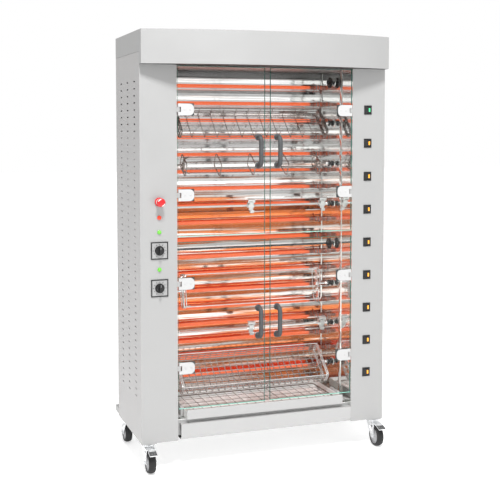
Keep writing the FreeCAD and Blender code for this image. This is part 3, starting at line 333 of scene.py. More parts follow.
CORE = moulded("castor_core", (0.34, 0.34, 0.35), 0.5)
MOTOR = moulded("motor_case", (0.05, 0.05, 0.052), 0.5)
RED = moulded("stop_red", (0.56, 0.012, 0.016), 0.35, 900.0, 0.05)
GREY = moulded("grey_plastic", (0.34, 0.34, 0.345), 0.4)
# White used as painted highlight on the stop button's head, neck and bezel.
HIGHLIGHT_WHITE = moulded("white_print", (0.82, 0.82, 0.81), 0.5)
# Dark rubber for the clamp gaskets, also used as painted shade round the clamps and in the castor forks' holes.
GASKET_AND_SHADE = moulded("gasket", (0.045, 0.05, 0.05), 0.7)
RACK = brushed("rack_wire", (0.16, 0.125, 0.105), 0.4, 0.7, EVEN, 0.15)
AMBER = lit_lens("lens_amber", (0.95, 0.36, 0.03), 0.65)
GREEN = lit_lens("lens_green", (0.08, 0.62, 0.26), 0.45)
LAMP_RED = lit_lens("lens_red", (0.8, 0.05, 0.015), 0.3)
LAMP_GREEN = lit_lens("lens_lime", (0.14, 0.5, 0.05), 0.22)
GLASS = clear_glass()
EDGE = green_edge()
GLOW = glowing_tube()
# Nodes of one finish all over.
PLAIN = {"roof_cover": BODY, "back_panel": BODY, "rear_spacers": BODY, "base_frame": SKIRT_PAINTED_LIGHT,
         "left_side_panel": SIDE_PAINTED_LIGHT, "right_side_panel": SIDE_PAINTED_LIGHT, "cavity_walls": LINING,
         "rear_reflector": REFLECTOR, "heating_tubes": GLOW, "spit_motors": MOTOR,
         "spit_bushes": BRIGHT, "switch_bezels": BLACK, "knob_1": BLACK, "knob_2": BLACK}


def paint(node, *materials, choose=None):
    """Give a CAD node its materials; a face that choose(face) is true for takes the second."""
    mesh = NODES[node].data
    mesh.materials.clear()
    for material in materials:
        mesh.materials.append(material)
    for face in mesh.polygons:
        face.material_index = int(choose(face)) if choose else 0


def smooth(mesh):
    """Round shading on curved faces, with the sharp edges kept."""
    for face in mesh.polygons:
        face.use_smooth = True
    mesh.set_sharp_from_angle(angle=0.5)


def paint_cad():
    """Every CAD node that stays visible gets its finish. Finer pieces replace the spits and stop button."""
    for node, finish in PLAIN.items():
        paint(node, finish)
    for number in range(1, 10):
        paint(f"rocker_{number}", BLACK)
    for node in ("left_column", "right_column"):
        paint(node, BODY, LINING, choose=lambda face: abs(face.normal.x) > 0.9 and abs(face.center.x) < 0.45)
    # The fascia's downward faces get near-black painted shade.
    paint("fascia", BODY, SHADE, choose=lambda face: face.normal.z < -0.5 and face.center.z < CROWN_UNDER)
    # Above the dials, the stop button's bezel takes white painted highlight.
    paint("control_bezels", PLATE, HIGHLIGHT_WHITE, choose=lambda face: face.center.z > ABOVE_DIALS)
    paint("pilot_lights", LAMP_GREEN, LAMP_RED, choose=lambda face: face.center.z > ABOVE_DIALS)
    # Upward faces and faces behind the tray's front take painted light.
    paint("drip_tray", TRAY, TRAY_PAINTED_LIGHT, choose=lambda face: face.normal.z > 0.5 or face.center.y > FACE + 0.01)
    for door in DOORS:
        paint(f"door_glass_{door}", GLASS, EDGE, choose=lambda face: abs(face.normal.y) < 0.5)
        paint(f"door_clamps_{door}", CLAMP)
        paint(f"door_handle_{door}", HANDLE)
    for name in NODES:
        if name.startswith(("castor_fork", "brake_pedal")):
            paint(name, ZINC)
        if name.startswith("castor_wheel"):
            paint(name, RUBBER, CORE, choose=in_hub)
        smooth(NODES[name].data)


def in_hub(face):
    """Whether a face of a castor wheel belongs to its grey core."""
    away = Vector((face.center.y, face.center.z))
    hubs = [Vector(JOINTS[f"wheel_{name}_roll"]["pos_m"][1:]) for name in CASTORS]
    return min((away - hub).length for hub in hubs) < HUB_RADIUS


# ---------------- piece helpers

def finish_piece(name, data, body, material=None):
    """Link a mesh or curve as a piece that rides on a body."""
    if material is not None:
        data.materials.append(material)
    piece = bpy.data.objects.new(name, data)
    bpy.context.scene.collection.objects.link(piece)
    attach(piece, body)
    return piece


def solid(name, work, body, slot, *materials):
    """Turn a finished bmesh into a piece with soft shading and sharp creases."""
    mesh = bpy.data.meshes.new(name)
    bmesh.ops.recalc_face_normals(work, faces=work.faces)
    work.to_mesh(mesh)
    work.free()
    for material in materials:
        mesh.materials.append(material)
    smooth(mesh)
    return finish_piece(name, mesh, body)


def block(work, low, high, bevel, place=Matrix(), tint=0):
    """Add a box with rounded edges between two corners."""
    low = Vector(low)
    high = Vector(high)
    size = high - low
    made = bmesh.ops.create_cube(work, size=1.0)["verts"]
    for vert in made:
        vert.co = Vector([low[i] + (vert.co[i] + 0.5) * size[i] for i in range(3)])
    edges = list({edge for vert in made for edge in vert.link_edges})
    bevelled = bmesh.ops.bevel(work, geom=edges, offset=bevel, segments=2, profile=0.5, affect="EDGES")
    faces = {face for vert in bevelled["verts"] for face in vert.link_faces}
    for vert in {vert for face in faces for vert in face.verts}:
        vert.co = place @ vert.co
    for face in faces:
        face.material_index = tint


def lathe(work, profile, place, steps=28, tint=0):
    """Add a turned shape: (radius, height) pairs revolved about the place's Z axis, closed at both ends."""
    rings = []
    for radius, height in profile:
        turn = [2 * math.pi * step / steps for step in range(steps)]
        rings.append([work.verts.new(place @ Vector((radius * math.cos(t), radius * math.sin(t), height)))
                      for t in turn])
    for lower, upper in zip(rings, rings[1:]):
        for step in range(steps):
            after = (step + 1) % steps
            work.faces.new((lower[step], lower[after], upper[after], upper[step])).material_index = tint
    work.faces.new(list(reversed(rings[0]))).material_index = tint
    work.faces.new(rings[-1]).material_index = tint


def facing(point, direction):
    """A place at a point whose Z axis looks along a direction."""
    return Matrix.Translation(Vector(point)) @ Vector(direction).to_track_quat("Z", "Y").to_matrix().to_4x4()


def around(count, radius=0.0, height=0.0):
    """Places spaced evenly round the Z axis, at a radius and a height."""
    turns = [Matrix.Rotation(2 * math.pi * number / count, 4, "Z") for number in range(count)]
    return [turn @ Matrix.Translation((radius, 0.0, height)) for turn in turns]


def rounded(points, radius, steps=5):
    """A path with each inner corner turned into an arc."""
    path = [Vector(points[0])]
    for before, corner, after in zip(points, points[1:], points[2:]):
        corner = Vector(corner)
        back = (Vector(before) - corner).normalized() * radius
        ahead = (Vector(after) - corner).normalized() * radius
        for step in range(steps + 1):
            t = step / steps
            path.append(corner + back * (1 - t) ** 2 + ahead * t ** 2)
    path.append(Vector(points[-1]))
    return path


def loop(points, radius):
    """A closed path with every corner turned into an arc."""
    ring = list(points)
    return rounded([ring[-1]] + ring + [ring[0]], radius)[1:-1]


def wires(name, paths, radius, body, material, place=Matrix(), closed=False):
    """Round wires along paths, as one piece."""
    curve = bpy.data.curves.new(name, "CURVE")
    curve.dimensions = "3D"
    curve.bevel_depth = radius
    curve.bevel_resolution = 2
    curve.use_fill_caps = True
    for path in paths:
        spline = curve.splines.new("POLY")
        spline.points.add(len(path) - 1)
        for point, at in zip(spline.points, path):
            point.co = (*(place @ Vector(at)), 1.0)
        spline.use_cyclic_u = closed
        spline.use_smooth = True
    return finish_piece(name, curve, body, material)


# ---------------- spits

# Along each rod: its radius, its two ends, and where the drive coupling starts.
ROD_R = 0.005
ROD_LEFT = -0.424
ROD_RIGHT = 0.44
JAW_X = 0.402
# From a basket's or cradle's outer size to the middle of its wires.
BASKET_INSET = 0.003
CRADLE_INSET = 0.004


def spit_place(node, tilt):
    """The spit's own space: its rod along X, turned to its rest angle."""
    middle = Vector(JOINTS[node + "_spin"]["pos_m"])
    return Matrix.Translation(middle) @ Matrix.Rotation(math.radians(tilt), 4, "X")


def lengthwise(place):
    """The place turned so that its Z axis runs along the rod."""
    return place @ Matrix.Rotation(QUARTER, 4, "Y")


def run(reach, y, z):
    """A straight wire along the spit, to the same distance either way from its middle."""
    return (-reach, y, z), (reach, y, z)


def collar(work, place, x, half, inner, outer):
    """A collar on the rod with its rims turned down."""
    profile = [(inner, x - half), (outer, x - half + 0.002), (outer, x + half - 0.002), (inner, x + half)]
    lathe(work, profile, lengthwise(place), 24)


def rod_part(work, place, left, right):
    """A length of the spit's rod, narrowed at both ends."""
    profile = [(ROD_R * 0.6, left), (ROD_R, left + 0.002), (ROD_R, right - 0.002), (ROD_R * 0.6, right)]
    lathe(work, profile, lengthwise(place), 20)


def coupling(node, place):
    """The black drive coupling, a turned spool with two flanges, and its bright hub."""
    work = bmesh.new()
    spool = [(0.0125, -0.002), (0.0138, -0.001), (0.0138, 0.003), (0.011, 0.006), (0.007, 0.009),
             (0.007, 0.011), (0.011, 0.014), (0.0138, 0.017), (0.0138, 0.019), (0.0125, 0.02)]
    hub = [(0.0068, -0.016), (0.0078, -0.014), (0.0078, -0.003), (0.006, 0.001)]
    along = lengthwise(place)
    lathe(work, [(radius, JAW_X + ahead) for radius, ahead in spool], along, 28)
    lathe(work, [(radius, JAW_X + ahead) for radius, ahead in hub], along, 24, 1)
    solid(node + "_coupling", work, node + "_body", "spit_steel", BLACK, BRIGHT)


def spit_ends(node, place, half, inset, plate, collar_half, metal, screwed):
    """Both ends of a basket or cradle: a plate, a collar, perhaps a thumb screw, the rod and the coupling."""
    work = bmesh.new()
    wide, low, high = plate
    for end in (-1, 1):
        x = end * (half - inset)
        block(work, (x - 0.0015, -wide, low), (x + 0.0015, wide, high), 0.001, place)
        collar(work, place, x, collar_half, 0.008, 0.01)
        if screwed:
            lathe(work, [(0.0035, 0.0), (0.0035, 0.016), (0.007, 0.017), (0.007, 0.021), (0.006, 0.022)],
                  place @ Matrix.Translation((x, 0.0, 0.008)), 16)
    rod_part(work, place, ROD_LEFT, -half + 0.004)
    rod_part(work, place, half - 0.004, ROD_RIGHT)
    solid(node + "_ends", work, node + "_body", "spit_steel", metal)
    coupling(node, place)


def basket(node, tilt, half, width, deep, columns, rows, metal, frame_metal, wire):
    """A welded wire basket: crossed wires below and at the sides, double end frames, and its ends."""
    place = spit_place(node, tilt)
    body = node + "_body"
    reach = half - BASKET_INSET
    side = width / 2 - BASKET_INSET
    low = -deep / 2 + BASKET_INSET
    high = deep / 2 - BASKET_INSET
    hoops = []
    for number in range(columns + 1):
        x = -half + 0.004 + (2 * half - 0.008) * number / columns
        hoops.append(rounded([(x, -side, high), (x, -side, low), (x, side, low), (x, side, high)], 0.008))
    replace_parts(wires(node + "_hoops", hoops, wire, body, metal, place), node)
    runs = [run(reach, -side + 2 * side * row / rows, low + wire) for row in range(1, rows)]
    for face in (-1, 1):
        runs += [run(reach, face * side, low + (high - low) * third / 3) for third in range(3)]
    wires(node + "_runs", runs, wire, body, metal, place)
    frames = []
    for x in (-reach, -half + 0.011, half - 0.011, reach):
        frames.append(loop([(x, -side, low), (x, side, low), (x, side, high), (x, -side, high)], 0.01))
    wires(node + "_frames", frames, 0.0032, body, frame_metal, place, True)
    rim = [run(reach, face * side, high) for face in (-1, 1)]
    wires(node + "_rim", rim, 0.0027, body, frame_metal, place)
    spit_ends(node, place, half, 0.007, (0.017, low, high), 0.009, metal, True)


def cradle(node, tilt, half, width, tall, hoops, metal):
    """A wire cradle: long wires inside rounded hoops, a hairpin wire at each end, and its ends."""
    place = spit_place(node, tilt)
    body = node + "_body"
    side = width / 2 - CRADLE_INSET
    top = tall / 2 - CRADLE_INSET
    corner = min(side, top) * 0.55
    rings = []
    for number in range(hoops):
        x = -half + 0.004 + (2 * half - 0.008) * number / (hoops - 1)
        rings.append(loop([(x, -side, -top), (x, side, -top), (x, side, top), (x, -side, top)], corner))
    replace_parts(wires(node + "_hoops", rings, 0.0024, body, metal, place, True), node)
    spots = ((-1, -0.45), (-1, 0.45), (1, -0.45), (1, 0.45), (-0.45, -1), (0.45, -1), (-0.45, 1), (0.45, 1))
    runs = [run(half - 0.002, y * (side - 0.004), z * (top - 0.004)) for y, z in spots]
    wires(node + "_runs", runs, 0.0021, body, metal, place)
    pins = []
    for end in (-1, 1):
        x = end * half
        tip = end * (half - 0.03)
        pins.append(rounded([(tip, -side * 0.5, -top * 0.9), (x, 0.0, -top * 0.9), (x, 0.0, top * 0.9),
                             (tip, side * 0.5, top * 0.9)], 0.012))
    wires(node + "_pins", pins, 0.003, body, metal, place)
    spit_ends(node, place, half, 0.003, (0.014, -top + 0.004, top - 0.004), 0.008, metal, False)


def fork(work, place, at, sign):
    """A fork on the rod: its hub, folded plate with its slot drawn as a black mark of painted shade, two tines and
    a thumb screw.
    """
    collar(work, place, at, 0.018, 0.009, 0.011)
    for left, right, low, high in ((-0.018, 0.018, 0.018, 0.0345), (-0.01, 0.012, -0.02, 0.0185),
                                   (-0.002, 0.018, -0.0345, -0.0195)):
        block(work, (at + left, -0.011, low), (at + right, -0.0075, high), 0.0012, place, 1)
    block(work, (at - 0.002, -0.011, -0.035), (at + 0.018, 0.007, -0.0325), 0.0008, place, 1)
    block(work, (at - 0.018, -0.011, 0.0325), (at + 0.018, 0.007, 0.035), 0.0008, place, 1)
    # The slot: a thin black mark of painted shade on the plate.
    block(work, (at - 0.014, -0.0112, 0.023), (at + 0.004, -0.0106, 0.0255), 0.0003, place, 2)
    low, high = sorted((at, at + sign * 0.078))
    for side in (-1, 1):
        z = side * 0.033
        block(work, (low, 0.001, z - 0.002), (high, 0.007, z + 0.002), 0.0015, place)
    lathe(work, [(0.003, 0.0), (0.003, 0.016), (0.0075, 0.017), (0.0075, 0.022), (0.006, 0.023)],
          place @ facing((at, 0.008, 0.0), (0, 1, 0)), 16)


def forked(node, tilt, blade, rod):
    """A rod with two forks that point at each other, and perhaps a flat blade."""
    place = spit_place(node, tilt)
    work = bmesh.new()
    rod_part(work, place, ROD_LEFT, ROD_RIGHT)
    for at, sign in ((-0.005, 1), (0.366, -1)):
        fork(work, place, at, sign)
    if blade:
        block(work, (-0.356, -0.011, -0.003), (-0.005, 0.011, 0.003), 0.0015, place)
    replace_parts(solid(node + "_rod", work, node + "_body", "spit_steel", rod, FORK, BLACK), node)
    coupling(node, place)


def driver(node, left):
    """The large drive disc with a groove, a boss and three bolts, on its stub or rod."""
    place = spit_place(node, 0)
    along = lengthwise(place)
    work = bmesh.new()
    rod_part(work, place, left, ROD_RIGHT)
    disc = [(0.024, 0.0), (0.026, 0.0015), (0.026, 0.003), (0.0245, 0.004),
            (0.0245, 0.005), (0.026, 0.006), (0.026, 0.0075), (0.024, 0.009)]
    boss = [(0.007, -0.009), (0.009, -0.007), (0.009, -0.001), (0.014, 0.0), (0.014, 0.015), (0.012, 0.017)]
    lathe(work, [(radius, JAW_X + ahead) for radius, ahead in disc], along, 40, 1)
    lathe(work, [(radius, JAW_X + ahead) for radius, ahead in boss], along, 28, 1)
    for number in range(3):
        turn = 2 * math.pi * number / 3 + 0.4
        spot = (JAW_X - 0.0025, 0.0195 * math.cos(turn), 0.0195 * math.sin(turn))
        lathe(work, [(0.0025, 0.0), (0.003, 0.0006), (0.003, 0.003)],
              lengthwise(place @ Matrix.Translation(spot)), 6)
    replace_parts(solid(node + "_disc", work, node + "_body", "spit_steel", DARK_ROD, BLACK), node)


def all_spits():
    """The eight spits, lowest first, at their rest angles."""
    basket("basket_spit_1", 41, 0.372, 0.196, 0.058, 24, 7, STEEL_WIRE, BRIGHT, 0.0022)
    forked("blade_spit_2", 20, True, BRIGHT)
    cradle("cradle_spit_3", -10, 0.344, 0.098, 0.166, 2, BRIGHT)
    driver("plain_spit_4", ROD_LEFT)
    forked("fork_spit_5", 20, False, FORK)
    cradle("cradle_spit_6", 30, 0.34, 0.112, 0.074, 5, DARK_WIRE)
    basket("basket_spit_7", 44, 0.372, 0.158, 0.048, 12, 4, DARK_WIRE, DARK_WIRE, 0.0016)
    driver("drive_stub_8", JAW_X - 0.012)


# ---------------- inside of the oven

REFLECTOR_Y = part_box("rear_reflector")[0].y
TUBES = 18
# Where the tubes lie in depth, how far a tube's middle is inside the tubes' box, and half a holder.
TUBE_Y = 0.126
TUBE_INSET = 0.01
HOLDER_HALF = 0.0125
# Half the width of the dark plate of painted shade under the ceiling, and the height of its lower fold.
SHADE_PLATE_HALF = 0.4262
SHADE_PLATE_FOOT = 1.77


def between(side, near, far):
    """Two distances from the middle as a low and a high X on one side of the oven."""
    return sorted((side * near, side * far))


def wall_fittings():
    """Corner angles and support strips on the side walls, and screwed flanges round the spit holes."""
    for side, name in ((-1, "left"), (1, "right")):
        work = bmesh.new()
        low, high = between(side, WALL_X, WALL_X - 0.003)
        for y, wide in ((REFLECTOR_Y - 0.014, 0.014), (-0.098, 0.022)):
            block(work, (low, y, 0.2185), (high, y + wide, 1.803), 0.0008)
        inner = side * WALL_X
        for spit in SPITS:
            at = JOINTS[spit + "_spin"]["pos_m"]
            lathe(work, [(0.0205, 0.0), (0.0205, 0.0015), (0.019, 0.0025), (0.0125, 0.003)],
                  facing((inner, at[1], at[2]), (-side, 0, 0)))
            for turn in (0.8, 2.4, 3.9, 5.5):
                spot = (inner, at[1] + 0.0165 * math.cos(turn), at[2] + 0.0165 * math.sin(turn))
                lathe(work, [(0.002, 0.0), (0.002, 0.004), (0.0012, 0.0045)], facing(spot, (-side, 0, 0)), 10)
        solid(f"wall_fittings_{name}", work, "cabinet", "polished_lining", LINING)


def tube_holders():
    """A square plate and a collar at both ends of every radiant tube."""
    work = bmesh.new()
    low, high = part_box("heating_tubes")
    step = (high.z - low.z - 2 * TUBE_INSET) / (TUBES - 1)
    for number in range(TUBES):
        z = low.z + TUBE_INSET + number * step
        for side in (-1, 1):
            near, far = between(side, 0.399, 0.404)
            block(work, (near, TUBE_Y - HOLDER_HALF, z - HOLDER_HALF),
                  (far, TUBE_Y + HOLDER_HALF, z + HOLDER_HALF), 0.0012)
            lathe(work, [(0.0085, 0.0), (0.0105, 0.002), (0.0105, 0.007), (0.0085, 0.009)],
                  facing((side * 0.3935, TUBE_Y, z), (-side, 0, 0)), 20)
    solid("tube_holders", work, "cabinet", "polished_lining", DARK_STEEL_AND_SHADE)


def top_baffle():
    """A dark folded plate under the ceiling in front of the reflector: painted shade for the cavity's shaded top.
    """
    work = bmesh.new()
    behind = REFLECTOR_Y - 0.003
    front = REFLECTOR_Y - 0.006
    block(work, (-SHADE_PLATE_HALF, front, SHADE_PLATE_FOOT), (SHADE_PLATE_HALF, behind, 1.8055), 0.0008)
    block(work, (-SHADE_PLATE_HALF, REFLECTOR_Y - 0.022, SHADE_PLATE_FOOT),
          (SHADE_PLATE_HALF, behind, SHADE_PLATE_FOOT + 0.0025), 0.0008)
    block(work, (-SHADE_PLATE_HALF, FACE + 0.014, 1.803), (SHADE_PLATE_HALF, front, 1.8056), 0.0008)
    solid("top_baffle", work, "cabinet", "polished_lining", DARK_STEEL_AND_SHADE)


def tray_rack():
    """The wire rack that lies in the drip tray, with its thicker rim."""
    low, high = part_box("drip_tray")
    floor = low.z + 0.003
    inset = 0.012
    front = low.y + inset
    rear = high.y - inset
    left = low.x + inset
    right = high.x - inset
    bars = []
    for number in range(18):
        x = left + (right - left) * number / 17
        bars.append(((x, front, floor + 0.016), (x, rear, floor + 0.016)))
    for number in range(6):
        y = front + (rear - front) * number / 5
        bars.append(((left, y, floor + 0.012), (right, y, floor + 0.012)))
    wires("tray_rack", bars, 0.0013, "drip_tray_body", RACK)
    corners = ((left, front), (right, front), (right, rear), (left, rear))
    rim = loop([(x, y, floor + 0.014) for x, y in corners], 0.012)
    wires("tray_rack_rim", [rim], 0.0032, "drip_tray_body", RACK, closed=True)


def tray_lip():
    """The tray's folded front lip and the small rests for the rack inside its walls."""
    low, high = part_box("drip_tray")
    floor = low.z + 0.003
    work = bmesh.new()
    block(work, (low.x + 0.001, low.y + 0.0022, high.z - 0.006),
          (high.x - 0.001, low.y + 0.011, high.z - 0.0006), 0.002)
    wall = high.x - 0.0025
    for side in (-1, 1):
        a, b = between(side, wall, wall - 0.004)
        for depth in (0.06, 0.26):
            y = low.y + depth
            block(work, (a, y, floor + 0.002), (b, y + 0.03, floor + 0.014), 0.001)
    solid("tray_lip", work, "drip_tray_body", "tray_steel", TRAY)


def tray_guides():
    """The folded guides on the lining floor at both sides of the tray."""
    work = bmesh.new()
    for side in (1, -1):
        for near, far, top, bevel in ((0.386, 0.398, 0.262, 0.001), (0.398, 0.4265, 0.219, 0.0008)):
            a, b = between(side, near, far)
            block(work, (a, -0.15, 0.2165), (b, -0.06, top), bevel)
    solid("tray_guides", work, "cabinet", "tray_steel", TRAY)


# ---------------- doors

def side_of(door):
    """Which side of the oven a door is on."""
    return -1 if "left" in door else 1


def clamp_heights(door):
    """The middles of a door's two clamps."""
    low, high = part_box("door_clamps_" + door)
    return low.z + 0.026, high.z - 0.026


def clamp_fittings(door):
    """Gaskets between a door's clamps and its glass, a little larger than the clamps so that their dark rims also
    paint the shade round each clamp's edge, and the clamps' cover screws.
    """
    side = side_of(door)
    low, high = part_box("door_clamps_" + door)
    a, b = between(side, 0.3465 if side > 0 else 0.3485, 0.41)
    work = bmesh.new()
    for z in clamp_heights(door):
        for y in (low.y + 0.004, high.y - 0.0055):
            # Gaskets a little larger than the clamps: part real gasket, part painted shade at the clamp edges.
            block(work, (a, y, z - 0.0275), (b, y + 0.0015, z + 0.0275), 0.0006, tint=1)
        for x in (0.366, 0.392):
            for y, look in ((low.y, -1), (high.y, 1)):
                lathe(work, [(0.0052, -0.0005), (0.0052, 0.0006), (0.004, 0.0014), (0.0022, 0.0016),
                             (0.0018, 0.0006)], facing((side * x, y, z), (0, look, 0)), 20)
    solid("clamp_fittings_" + door, work, "door_" + door, "clamp_steel", CLAMP, GASKET_AND_SHADE)


def glass_edges(door):
    """The green edges of a door's glass, with painted light and shade: pale below, dark above and beside, with
    gaps at the clamps.
    """
    low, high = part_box("door_glass_" + door)
    front = low.y - 0.0003
    back = low.y + 0.0055
    foot = low.z + 0.0034
    top = high.z - 0.0024
    inner, outer = sorted((low.x, high.x), key=abs)
    work = bmesh.new()
    block(work, (low.x, front, low.z - 0.0001), (high.x, back, low.z + 0.0024), 0.0004)
    a, b = sorted((inner, inner + side_of(door) * 0.002))
    block(work, (a, front, foot), (b, back, top), 0.0004, tint=1)
    if side_of(door) > 0:
        cuts = [foot]
        for z in clamp_heights(door):
            cuts += [z - 0.028, z + 0.028]
        cuts.append(top)
        for z_low, z_high in zip(cuts[::2], cuts[1::2]):
            block(work, (outer - 0.0028, front, z_low), (outer, back, z_high), 0.0004, tint=1)
    block(work, (low.x, front, high.z - 0.0022), (high.x, back, high.z), 0.0004, tint=1)
    solid("glass_edges_" + door, work, "door_" + door, "door_glass", EDGE_LIT_GREEN, EDGE_SHADED_GREEN)


def handle_rosettes(door):
    """Rosettes on both faces of the glass at the handle's two feet."""
    low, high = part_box("door_handle_" + door)
    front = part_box("door_glass_" + door)[0].y
    x = (low.x + high.x) / 2
    work = bmesh.new()
    for z in (low.z + 0.0105, high.z - 0.0105):
        lathe(work, [(0.0155, 0.0), (0.0155, 0.0015), (0.0135, 0.0035), (0.0108, 0.0045)],
              facing((x, front, z), (0, -1, 0)))
        lathe(work, [(0.012, 0.0), (0.012, 0.0015), (0.01, 0.0035), (0.004, 0.004)],
              facing((x, front + 0.006, z), (0, 1, 0)))
    solid("handle_rosettes_" + door, work, "door_" + door, "handle_grey", HANDLE)


# ---------------- controls

DIAL_X = (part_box("control_bezels")[0].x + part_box("control_bezels")[1].x) / 2
DIAL_HEIGHTS = [JOINTS[f"knob_{number}_turn"]["pos_m"][2] for number in (1, 2)]
# Half the dial frame's outer and inner width.
FRAME_OUTER = 0.039
FRAME_INNER = 0.034
# The radius of a pilot lamp, and from the top lamp down to the next.
LAMP_R = 0.009
LAMP_DROP = 0.0645


def dial_frames():
    """The black square frame and the tick marks of both dials."""
    out = FRAME_OUTER
    hole = FRAME_INNER
    work = bmesh.new()
    for z in DIAL_HEIGHTS:
        for left, right, low, high in ((-out, out, -out, -hole), (-out, out, hole, out),
                                       (-out, -hole, -hole, hole), (hole, out, -hole, hole)):
            block(work, (DIAL_X + left, FACE - 0.0042, z + low), (DIAL_X + right, FACE - 0.0028, z + high),
                  0.0005)
        for number in range(11):
            turn = math.radians(-150 + 30 * number)
            place = Matrix.Translation((DIAL_X, FACE - 0.0032, z)) @ Matrix.Rotation(turn, 4, "Y")
            top = 0.0295 if number % 2 else 0.0315
            block(work, (-0.0008, -0.0004, 0.0245), (0.0008, 0.0004, top), 0.0002, place)
    solid("dial_frames", work, "cabinet", "switch_black", BLACK)


def knob_trim(number, z):
    """A knob's grey pointer line, its skirt and its grip ribs."""
    work = bmesh.new()
    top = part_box(f"knob_{number}")[0].y
    block(work, (DIAL_X - 0.0008, top - 0.0004, z + 0.006), (DIAL_X + 0.0008, top + 0.0006, z + 0.0165),
          0.0003, tint=1)
    place = facing((DIAL_X, FACE - 0.0037, z), (0, -1, 0))
    lathe(work, [(0.0203, 0.0), (0.0212, 0.0008), (0.0212, 0.0024), (0.0203, 0.0032)], place, 48)
    for at in around(24, 0.0193):
        block(work, (-0.001, -0.0008, 0.003), (0.0006, 0.0008, 0.0092), 0.0003, place @ at)
    solid(f"knob_{number}_trim", work, f"knob_{number}_body", "knob_black", BLACK, GREY)


def lamp_lenses():
    """The domed lenses of the three pilot lamps, the top one red."""
    work = bmesh.new()
    low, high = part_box("pilot_lights")
    top = high.z - LAMP_R
    dome = [(0.0092, 0.0), (0.0092, 0.0008), (0.008, 0.0016), (0.0078, 0.0034), (0.007, 0.0058),
            (0.005, 0.0078), (0.0024, 0.0088)]
    for z, tint in ((top, 1), (top - LAMP_DROP, 0), (low.z + LAMP_R, 0)):
        lathe(work, dome, facing((DIAL_X, FACE, z), (0, -1, 0)), 32, tint)
    solid("lamp_lenses", work, "cabinet", "pilot_lens", LAMP_GREEN, LAMP_RED)


def stop_button():
    """The stop button's red head with its two white arcs of painted highlight, and the red collar with white ribs
    behind it that paint the highlight on the neck.
    """
    low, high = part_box("stop_button")
    place = facing(((low.x + high.x) / 2, FACE, (low.z + high.z) / 2), (0, -1, 0))
    work = bmesh.new()
    lathe(work, [(0.003, -0.0118), (0.003, 0.023), (0.0105, 0.0232), (0.016, 0.027), (0.0184, 0.0292),
                 (0.0188, 0.0305), (0.0188, 0.0385), (0.018, 0.0405), (0.015, 0.0428), (0.01, 0.0444),
                 (0.004, 0.0449)], place, 40)
    # Two white arcs of painted highlight on the dome.
    for middle in (-0.9, 2.2):
        for number in range(5):
            turn = Matrix.Rotation(middle + 0.22 * (number - 2), 4, "Z")
            block(work, (-0.0017, -0.0018, -0.001), (0.0017, 0.0018, 0.001), 0.0004,
                  place @ turn @ Matrix.Translation((0.0148, 0.0, 0.0424)), 1)
    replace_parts(solid("stop_head", work, "stop_button_body", "stop_red", RED, HIGHLIGHT_WHITE), "stop_button")
    work = bmesh.new()
    lathe(work, [(0.02, 0.0), (0.02, 0.006), (0.019, 0.0075), (0.0154, 0.0082)], place, 40, 1)
    # White ribs: painted highlight on the neck between collar and head.
    for at in around(20, 0.015, 0.003):
        block(work, (-0.0006, -0.0009, 0.0045), (0.0008, 0.0009, 0.013), 0.0003, place @ at)
    solid("stop_collar_trim", work, "cabinet", "stop_red", HIGHLIGHT_WHITE, RED)


def rocker_lenses():
    """The lit lens on one half of each rocker: green on the top one, amber on the others."""
    slope = Matrix.Rotation(math.atan2(0.003, 0.013), 4, "Z")
    for number in range(1, 10):
        lens, slot = (GREEN, "rocker_green") if number == 9 else (AMBER, "rocker_amber")
        middle = Matrix.Translation(Vector(JOINTS[f"rocker_{number}_tip"]["pos_m"]))
        tipped = middle @ Matrix.Rotation(math.radians(-8), 4, "Z") @ Matrix.Translation((0.0, -0.0075, 0.0))
        work = bmesh.new()
        block(work, (0.0035, -0.0007, -0.0085), (0.0115, 0.0008, 0.0085), 0.0005, tipped @ slope)
        solid(f"rocker_{number}_lens", work, f"rocker_{number}_body", slot, lens)


# ---------------- castors

def castor_centres(name):
    """A castor's swivel and its axle, and which way along Y the axle trails."""
    swivel = Vector(JOINTS[f"castor_{name}_swivel"]["pos_m"])
    roll = Vector(JOINTS[f"wheel_{name}_roll"]["pos_m"])
    return swivel, roll, 1 if roll.y > swivel.y else -1


def fork_fittings(name):
    """A castor's bearing races, axle nuts, fork ribs and two holes on each cheek, drawn as dark rimmed discs of
    painted shade.
    """
    swivel, roll, ahead = castor_centres(name)
    work = bmesh.new()
    lathe(work, [(0.0262, 0.1118), (0.0285, 0.1132), (0.0285, 0.116), (0.0262, 0.1172), (0.0262, 0.118),
                 (0.0278, 0.119), (0.0278, 0.1215), (0.0255, 0.1228)],
          Matrix.Translation((swivel.x, swivel.y, 0.0)), 40)
    lean = Matrix.Rotation(math.atan2(0.04, 0.05) * ahead, 4, "X")
    rib = Matrix.Translation((roll.x, roll.y - ahead * 0.019, roll.z + 0.026)) @ lean
    for side in (-1, 1):
        lathe(work, [(0.0078, 0.0), (0.0078, 0.0012), (0.0066, 0.0014), (0.0066, 0.0058), (0.0056, 0.0066)],
              facing((roll.x + side * 0.022, roll.y, roll.z), (side, 0, 0)), 6)
        a, b = between(side, 0.0215, 0.0238)
        block(work, (a, -0.0035, -0.02), (b, 0.0035, 0.024), 0.001, rib)
        for dy, dz in ((0.012, 0.034), (-0.012, 0.046)):
            # A dark disc with a raised rim: painted shade where a hole in the cheek would be.
            hole_shade_disc = (roll.x + side * 0.0219, roll.y - ahead * 0.018 + dy, roll.z + dz)
            lathe(work, [(0.005, 0.0), (0.005, 0.0008), (0.0036, 0.0012), (0.003, 0.0003)],
                  facing(hole_shade_disc, (side, 0, 0)), 18, 1)
    solid(f"castor_{name}_fittings", work, f"castor_{name}", "castor_zinc", ZINC, GASKET_AND_SHADE)


